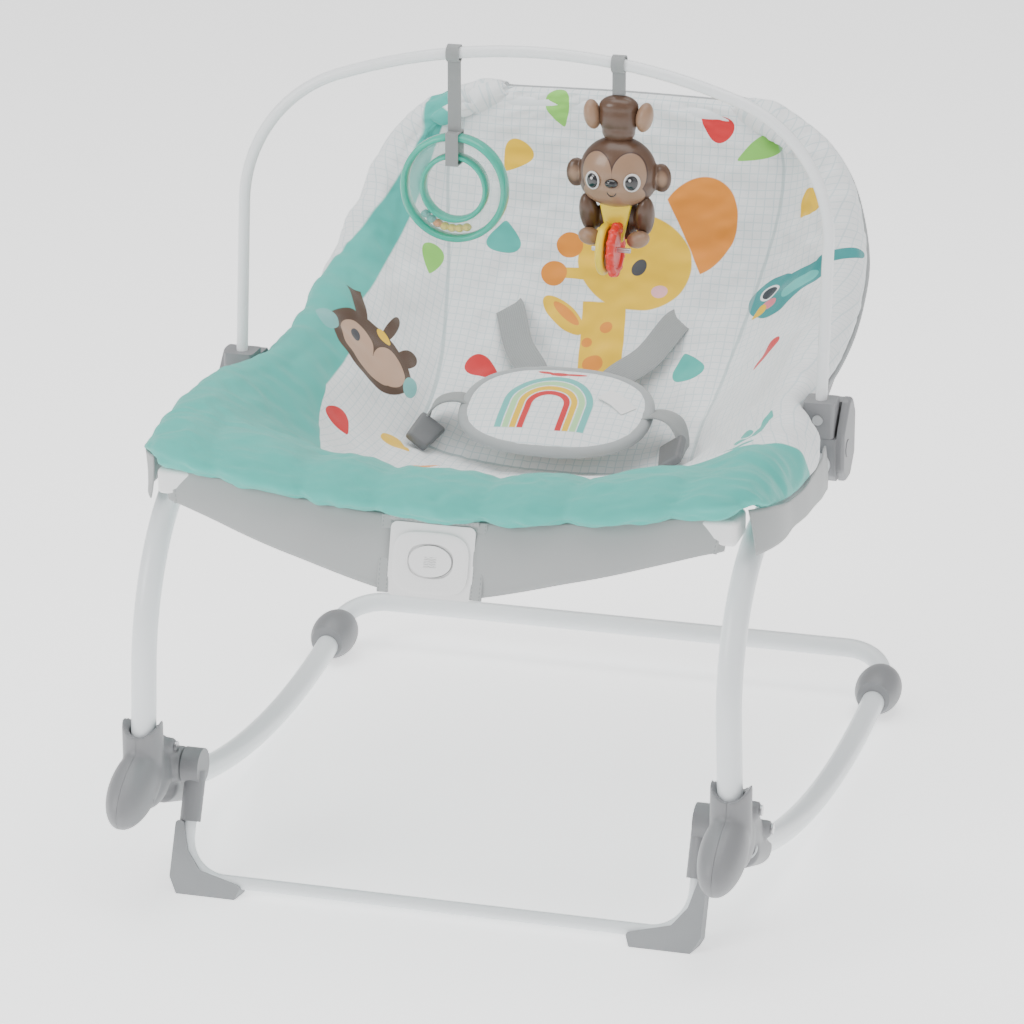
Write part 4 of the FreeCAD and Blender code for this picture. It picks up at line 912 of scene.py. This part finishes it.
toy_tape = Finish("toy_tape", (0.3, 0.315, 0.315), 0.8, sheen_weight=0.2)
spot = toy_tape.place()
wide = spot.node("ShaderNodeSeparateXYZ", i0=spot)
high = spot.node("ShaderNodeSeparateXYZ", output=2, i0=spot)
ribs = wide.wave(0.0011) * high.wave(0.0016)
toy_tape.bump(ribs, 0.0003, 0.7)
toy_tape.feed("Base Color", mix(ribs * 0.5 + 0.5, (0.26, 0.27, 0.27), (0.34, 0.355, 0.355)))
dress(toy_tape, "ring_strap", "monkey_strap")


# ---- Ring toy ----
# Two translucent mint rims hold a clear track with loose beads in it. Three colours of bead lie
# together at the bottom.

joints = {joint["name"]: joint for joint in frame["joints"]}
ring_spot = Vector(joints["bead_spin"]["pos_m"])


def ring(name, radius, half_wide, half_deep, power):
    """A ring facing forward, with a rounded section of the given half sizes, in millimetres."""
    bpy.ops.object.select_all(action="DESELECT")
    bpy.ops.mesh.primitive_torus_add(major_segments=128, minor_segments=24, major_radius=1, minor_radius=0.1)
    piece = bpy.context.object
    piece.name = name
    for vert in piece.data.vertices:
        angle = math.atan2(vert.co.y, vert.co.x)
        turn = math.atan2(vert.co.z, math.hypot(vert.co.x, vert.co.y) - 1)
        c, s = math.cos(turn), math.sin(turn)
        reach = (abs(c) ** power + abs(s) ** power) ** (-1 / power)
        away = (radius + c * reach * half_wide) / 1000
        deep = s * reach * half_deep / 1000
        vert.co = ring_spot + Vector((math.cos(angle) * away, -deep, math.sin(angle) * away))
    bpy.ops.object.mode_set(mode="EDIT")
    bpy.ops.mesh.select_all(action="SELECT")
    bpy.ops.mesh.normals_make_consistent(inside=False)
    bpy.ops.object.mode_set(mode="OBJECT")
    bpy.ops.object.shade_smooth()
    return piece


mint = Finish("mint_plastic", (0.12, 0.62, 0.47), 0.2, transmission_weight=0.25, ior=1.45, coat_weight=0.3)
mint.mottle((0.03, 0.5, 0.36), (0.06, 0.6, 0.44), 30.0, 0.00005, (0.14, 0.24))
clear = Finish("clear_plastic", (0.85, 0.94, 0.92), 0.06, alpha=0.16, specular_ior_level=0.7)
clear.feed("Roughness", clear.speckle(50.0) * 0.08 + 0.03)
outer_rim = ring("ring_outer_rim", 40.2, 2.8, 7.0, 2.6)
inner_rim = ring("ring_inner_rim", 25.2, 2.2, 6.8, 2.6)
track = ring("ring_clear_track", 32.5, 5.4, 5.2, 3.0)
for piece, finish, slot in ((outer_rim, mint, "ring_mint"), (inner_rim, mint, "ring_mint"),
                            (track, clear, "ring_clear")):
    piece.data.materials.append(finish.material)
    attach(piece, "ring_toy")
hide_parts("ring_rims")
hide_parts("ring_track")

BEAD = 0.0036
BEAD_RING = 0.0325
bead_colours = {"teal": (0.04, 0.4, 0.36), "orange": (0.78, 0.27, 0.04), "yellow": (0.85, 0.63, 0.03)}
for order, colour in enumerate(("teal", "teal", "orange", "yellow", "yellow", "yellow", "yellow")):
    tint = bead_colours[colour]
    gloss = Finish(f"bead_{colour}_{order}", tint, 0.25)
    gloss.mottle(tuple(c * 0.85 for c in tint), tuple(min(1, c * 1.1) for c in tint), 90.0, 0.00005,
                 (0.18, 0.3))
    bpy.ops.object.select_all(action="DESELECT")
    bpy.ops.mesh.primitive_uv_sphere_add(segments=32, ring_count=20, radius=BEAD)
    bead = bpy.context.object
    bead.name = f"ring_bead_{order}"
    angle = math.radians(226 - 10.5 * order)
    middle = ring_spot + Vector((math.sin(angle) * BEAD_RING, 0, math.cos(angle) * BEAD_RING))
    for vert in bead.data.vertices:
        lobes = math.cos(8 * math.atan2(vert.co.y, vert.co.x))
        waist = 1 - 0.12 * lobes * (1 - abs(vert.co.z) / BEAD)
        vert.co = Vector((vert.co.x * waist, vert.co.y * waist, vert.co.z * 0.9)) + middle
    bpy.ops.object.shade_smooth()
    bead.data.materials.append(gloss.material)
    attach(bead, "ring_bead_set")
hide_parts("ring_beads")


# ---- Monkey toy ----
# A hollow moulded figure in satin brown, with painted tan patches, glossy eyes and nose, and a
# yellow bib behind two rings that turn on a pin between its hands.

toy_spot = Vector(joints["monkey_swing"]["pos_m"])
toy_mm = (toy_spot - Vector((0, leg_y, 0))) * 1000


def toy(x, y, z):
    return (toy_mm.x + x, toy_mm.y + y, toy_mm.z + z)


hips = fuse("monkey_hips", [ball((15.5, 11, 17), toy(0, 0, -41)), ball((15.5, 10.5, 9), toy(0, 0, -33)),
                            ball((13, 10, 10), toy(0, 0, -52))], 0.0011, 6)
skull = fuse("monkey_head", [ball((30, 21, 27), toy(0, 0, -83)), ball((29.5, 20, 19), toy(0, -1, -92)),
                             ball((8, 4.5, 11.5), toy(-33.5, 2, -87), (0, 0, 8)),
                             ball((8, 4.5, 11.5), toy(33.5, 2, -87), (0, 0, -8))], 0.0011, 5)
torso = fuse("monkey_torso", [ball((17, 10, 19), toy(0, 3, -120))]
             + [ball((7.5, 8, 17), toy(side * 22, -3, -117), (14, side * 6, 0)) for side in (-1, 1)],
             0.0011, 4)
cut_away(torso, placed("cube", (0, 0, 0), (10, 22, 22), toy(0, -20, -140), size=2))

brown = Finish("monkey_brown", (0.15, 0.085, 0.05), 0.36, coat_weight=0.15)
spot = brown.place()
x = spot.node("ShaderNodeSeparateXYZ", i0=spot) * 1000 - toy_spot.x * 1000
y = spot.node("ShaderNodeSeparateXYZ", output=1, i0=spot) * 1000 - toy_spot.y * 1000
z = spot.node("ShaderNodeSeparateXYZ", output=2, i0=spot) * 1000 - toy_spot.z * 1000


def patch(cx, cz, half_x, half_z):
    """An oval on each side of the face, by its middle and half sizes."""
    wide, high = x.math("ABSOLUTE") - cx, z - cz
    return (wide * wide * (1 / half_x ** 2) + high * high * (1 / half_z ** 2)).below(1.0, 0.06)


front = y.below(-2.0, 1.0)
heart = (patch(12.5, -82, 12.5, 16.5) | patch(0, -97, 24, 12.5)) & front
inner_ear = patch(34.5, -87, 4.6, 7.5) & front
# A thin ring darker than the brown skin just outside the tan face patch: painted shade along the patch's
# edge.
painted_rim_shade = (patch(12.5, -82, 13.4, 17.4) | patch(0, -97, 24.9, 13.4)) & front
tan = (0.3, 0.18, 0.11)
grain = brown.speckle(30.0, 3.0)
skin = mix(grain, (0.08, 0.04, 0.022), (0.11, 0.057, 0.033))
skin = mix(painted_rim_shade, skin, (0.06, 0.03, 0.02))
brown.feed("Base Color", mix(heart | inner_ear, skin, tan))
brown.feed("Roughness", grain * 0.1 + 0.3)
brown.bump(brown.speckle(900.0) * 0.4 + heart * 2.0, 0.0002, 0.4)
tan_skin = Finish("monkey_tan", tan, 0.36)
tan_skin.mottle((0.27, 0.16, 0.1), (0.33, 0.2, 0.125), 40.0, 0.0001, (0.3, 0.42))
gloss_black = Finish("gloss_black", (0.01, 0.01, 0.012), 0.08, coat_weight=0.6)
gloss_black.mottle((0.008, 0.008, 0.01), (0.016, 0.016, 0.018), 80.0, 0.00002, (0.06, 0.12))
eye_white_and_highlight = Finish("eye_white_and_highlight", (0.62, 0.6, 0.58), 0.3)
eye_white_and_highlight.mottle((0.6, 0.58, 0.56), (0.66, 0.64, 0.62), 80.0, 0.00002, (0.25, 0.35))
bib_yellow = Finish("bib_yellow", (0.84, 0.6, 0.02), 0.32)
bib_yellow.mottle((0.8, 0.56, 0.02), (0.88, 0.65, 0.03), 40.0, 0.00006, (0.25, 0.38))
spinner_red_skin = Finish("spinner_red_skin", (0.72, 0.02, 0.015), 0.25)
spinner_red_skin.mottle((0.66, 0.015, 0.012), (0.76, 0.03, 0.02), 60.0, 0.00008, (0.18, 0.32))
dress(bib_yellow, "spinner_yellow")
dress(spinner_red_skin, "spinner_red")
dress(zinc, "monkey_rod")

tan_parts = [ball((6.5, 9, 11.5), toy(side * 20.5, -1, -40), (0, side * 10, 0)) for side in (-1, 1)]
tan_parts += [ball((9, 8.5, 6.5), toy(side * 19, -12, -133), (0, side * -14, 0)) for side in (-1, 1)]
eyes = []
for side in (-1, 1):
    turn = (0, 0, side * 24)
    eyes.append((ball((6.6, 1.6, 7.2), toy(side * 15.5, -18.6, -87), turn), eye_white_and_highlight, "toy_brown"))
    eyes.append((ball((5.0, 1.8, 5.8), toy(side * 15.4, -19.7, -87), turn), gloss_black, "toy_brown"))
    # A small white dot up and to the left on each glossy eye: a painted highlight, in the eye-white finish.
    eyes.append((ball((1.1, 0.8, 1.2), toy(side * 15.0 - 0.5, -21.6, -84.6)), eye_white_and_highlight, "toy_brown"))
nose = (ball((5.2, 3.4, 3.6), toy(0, -21.3, -88)), gloss_black, "toy_brown")
bpy.ops.object.select_all(action="DESELECT")
bpy.ops.mesh.primitive_torus_add(major_segments=48, minor_segments=10, major_radius=0.0034,
                                 minor_radius=0.0004)
smile = bpy.context.object
for vert in smile.data.vertices:
    vert.co = Vector((vert.co.x, vert.co.z * 0.8, vert.co.y)) + toy_spot + Vector((0, -0.0203, -0.0950))
bpy.ops.object.mode_set(mode="EDIT")
bpy.ops.mesh.select_all(action="SELECT")
bpy.ops.mesh.bisect(plane_co=toy_spot + Vector((0, 0, -0.0955)), plane_no=(0, 0, 1), clear_outer=True,
                    use_fill=True)
bpy.ops.mesh.select_all(action="SELECT")
bpy.ops.mesh.normals_make_consistent(inside=False)
bpy.ops.object.mode_set(mode="OBJECT")
BIB_DROP, BIB_TAPER = 122, 0.45
bib = placed("cube", (0, 0, 0), (13, 2.6, 16), toy(0, -7, -BIB_DROP), size=2)
for vert in bib.data.vertices:
    if vert.co.z < toy_spot.z - BIB_DROP / 1000:
        vert.co.x = toy_spot.x + (vert.co.x - toy_spot.x) * BIB_TAPER
finish_with(bib, ("BEVEL", {"width": 0.0022, "segments": 4}))
for order, (piece, finish, slot) in enumerate(
        [(hips, brown, "toy_brown"), (skull, brown, "toy_brown"), (torso, brown, "toy_brown"), nose,
         (smile, gloss_black, "toy_brown"), (bib, bib_yellow, "bead_yellow")]
        + [(part, tan_skin, "toy_brown") for part in tan_parts] + eyes):
    if not piece.name.startswith("monkey_"):
        piece.name = f"monkey_detail_{order}"
    bpy.ops.object.select_all(action="DESELECT")
    piece.select_set(True)
    bpy.context.view_layer.objects.active = piece
    bpy.ops.object.shade_smooth_by_angle(angle=math.radians(50))
    piece.data.materials.append(finish.material)
    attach(piece, "monkey_toy")
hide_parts("monkey_body")


# ---- Cover piping ----
# A grey corded edge sewn round the back of the cover, from one recline hub to the other.

border = [sling_point(-1, v) for v in range(8, ROWS + 1)]
border += [sling_point(u / 4, ROWS) for u in range(-3, 4)]
border += [sling_point(1, v) for v in range(ROWS, 7, -1)]
PIPING = 0.0026
bpy.ops.object.select_all(action="DESELECT")
bpy.ops.mesh.primitive_grid_add(x_subdivisions=12, y_subdivisions=220, size=2)
piping = bpy.context.object
piping.name = "cover_piping"
piping_uv = piping.data.uv_layers[0]
piping_uv.name = "cloth"
spots = [((vert.co.x + 1) * math.pi, (vert.co.y + 1) / 2) for vert in piping.data.vertices]
for loop in piping.data.loops:
    angle, share = spots[loop.vertex_index]
    piping_uv.data[loop.index].uv = (angle * PIPING, share * 0.9)
last = len(border) - 1
for vert, (angle, share) in zip(piping.data.vertices, spots):
    here = spline(border, share * last)
    ahead = spline(border, min(share + 0.004, 1) * last) - spline(border, max(share - 0.004, 0) * last)
    ahead.normalize()
    outward = ahead.cross(Vector((0, -0.7, 0.7))).normalized()
    up = ahead.cross(outward)
    vert.co = here + (outward * math.cos(angle) + up * math.sin(angle)) * PIPING + Vector((0, 0.002, -0.002))
bpy.ops.object.mode_set(mode="EDIT")
bpy.ops.mesh.select_all(action="SELECT")
bpy.ops.mesh.remove_doubles(threshold=0.00005)
bpy.ops.mesh.normals_make_consistent(inside=False)
bpy.ops.object.mode_set(mode="OBJECT")
finish_with(piping, ("SOLIDIFY", {"thickness": 0.0008, "offset": -1.0}))
bpy.ops.object.shade_smooth()
piping.data.materials.append(binding.material)
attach(piping, "backrest")
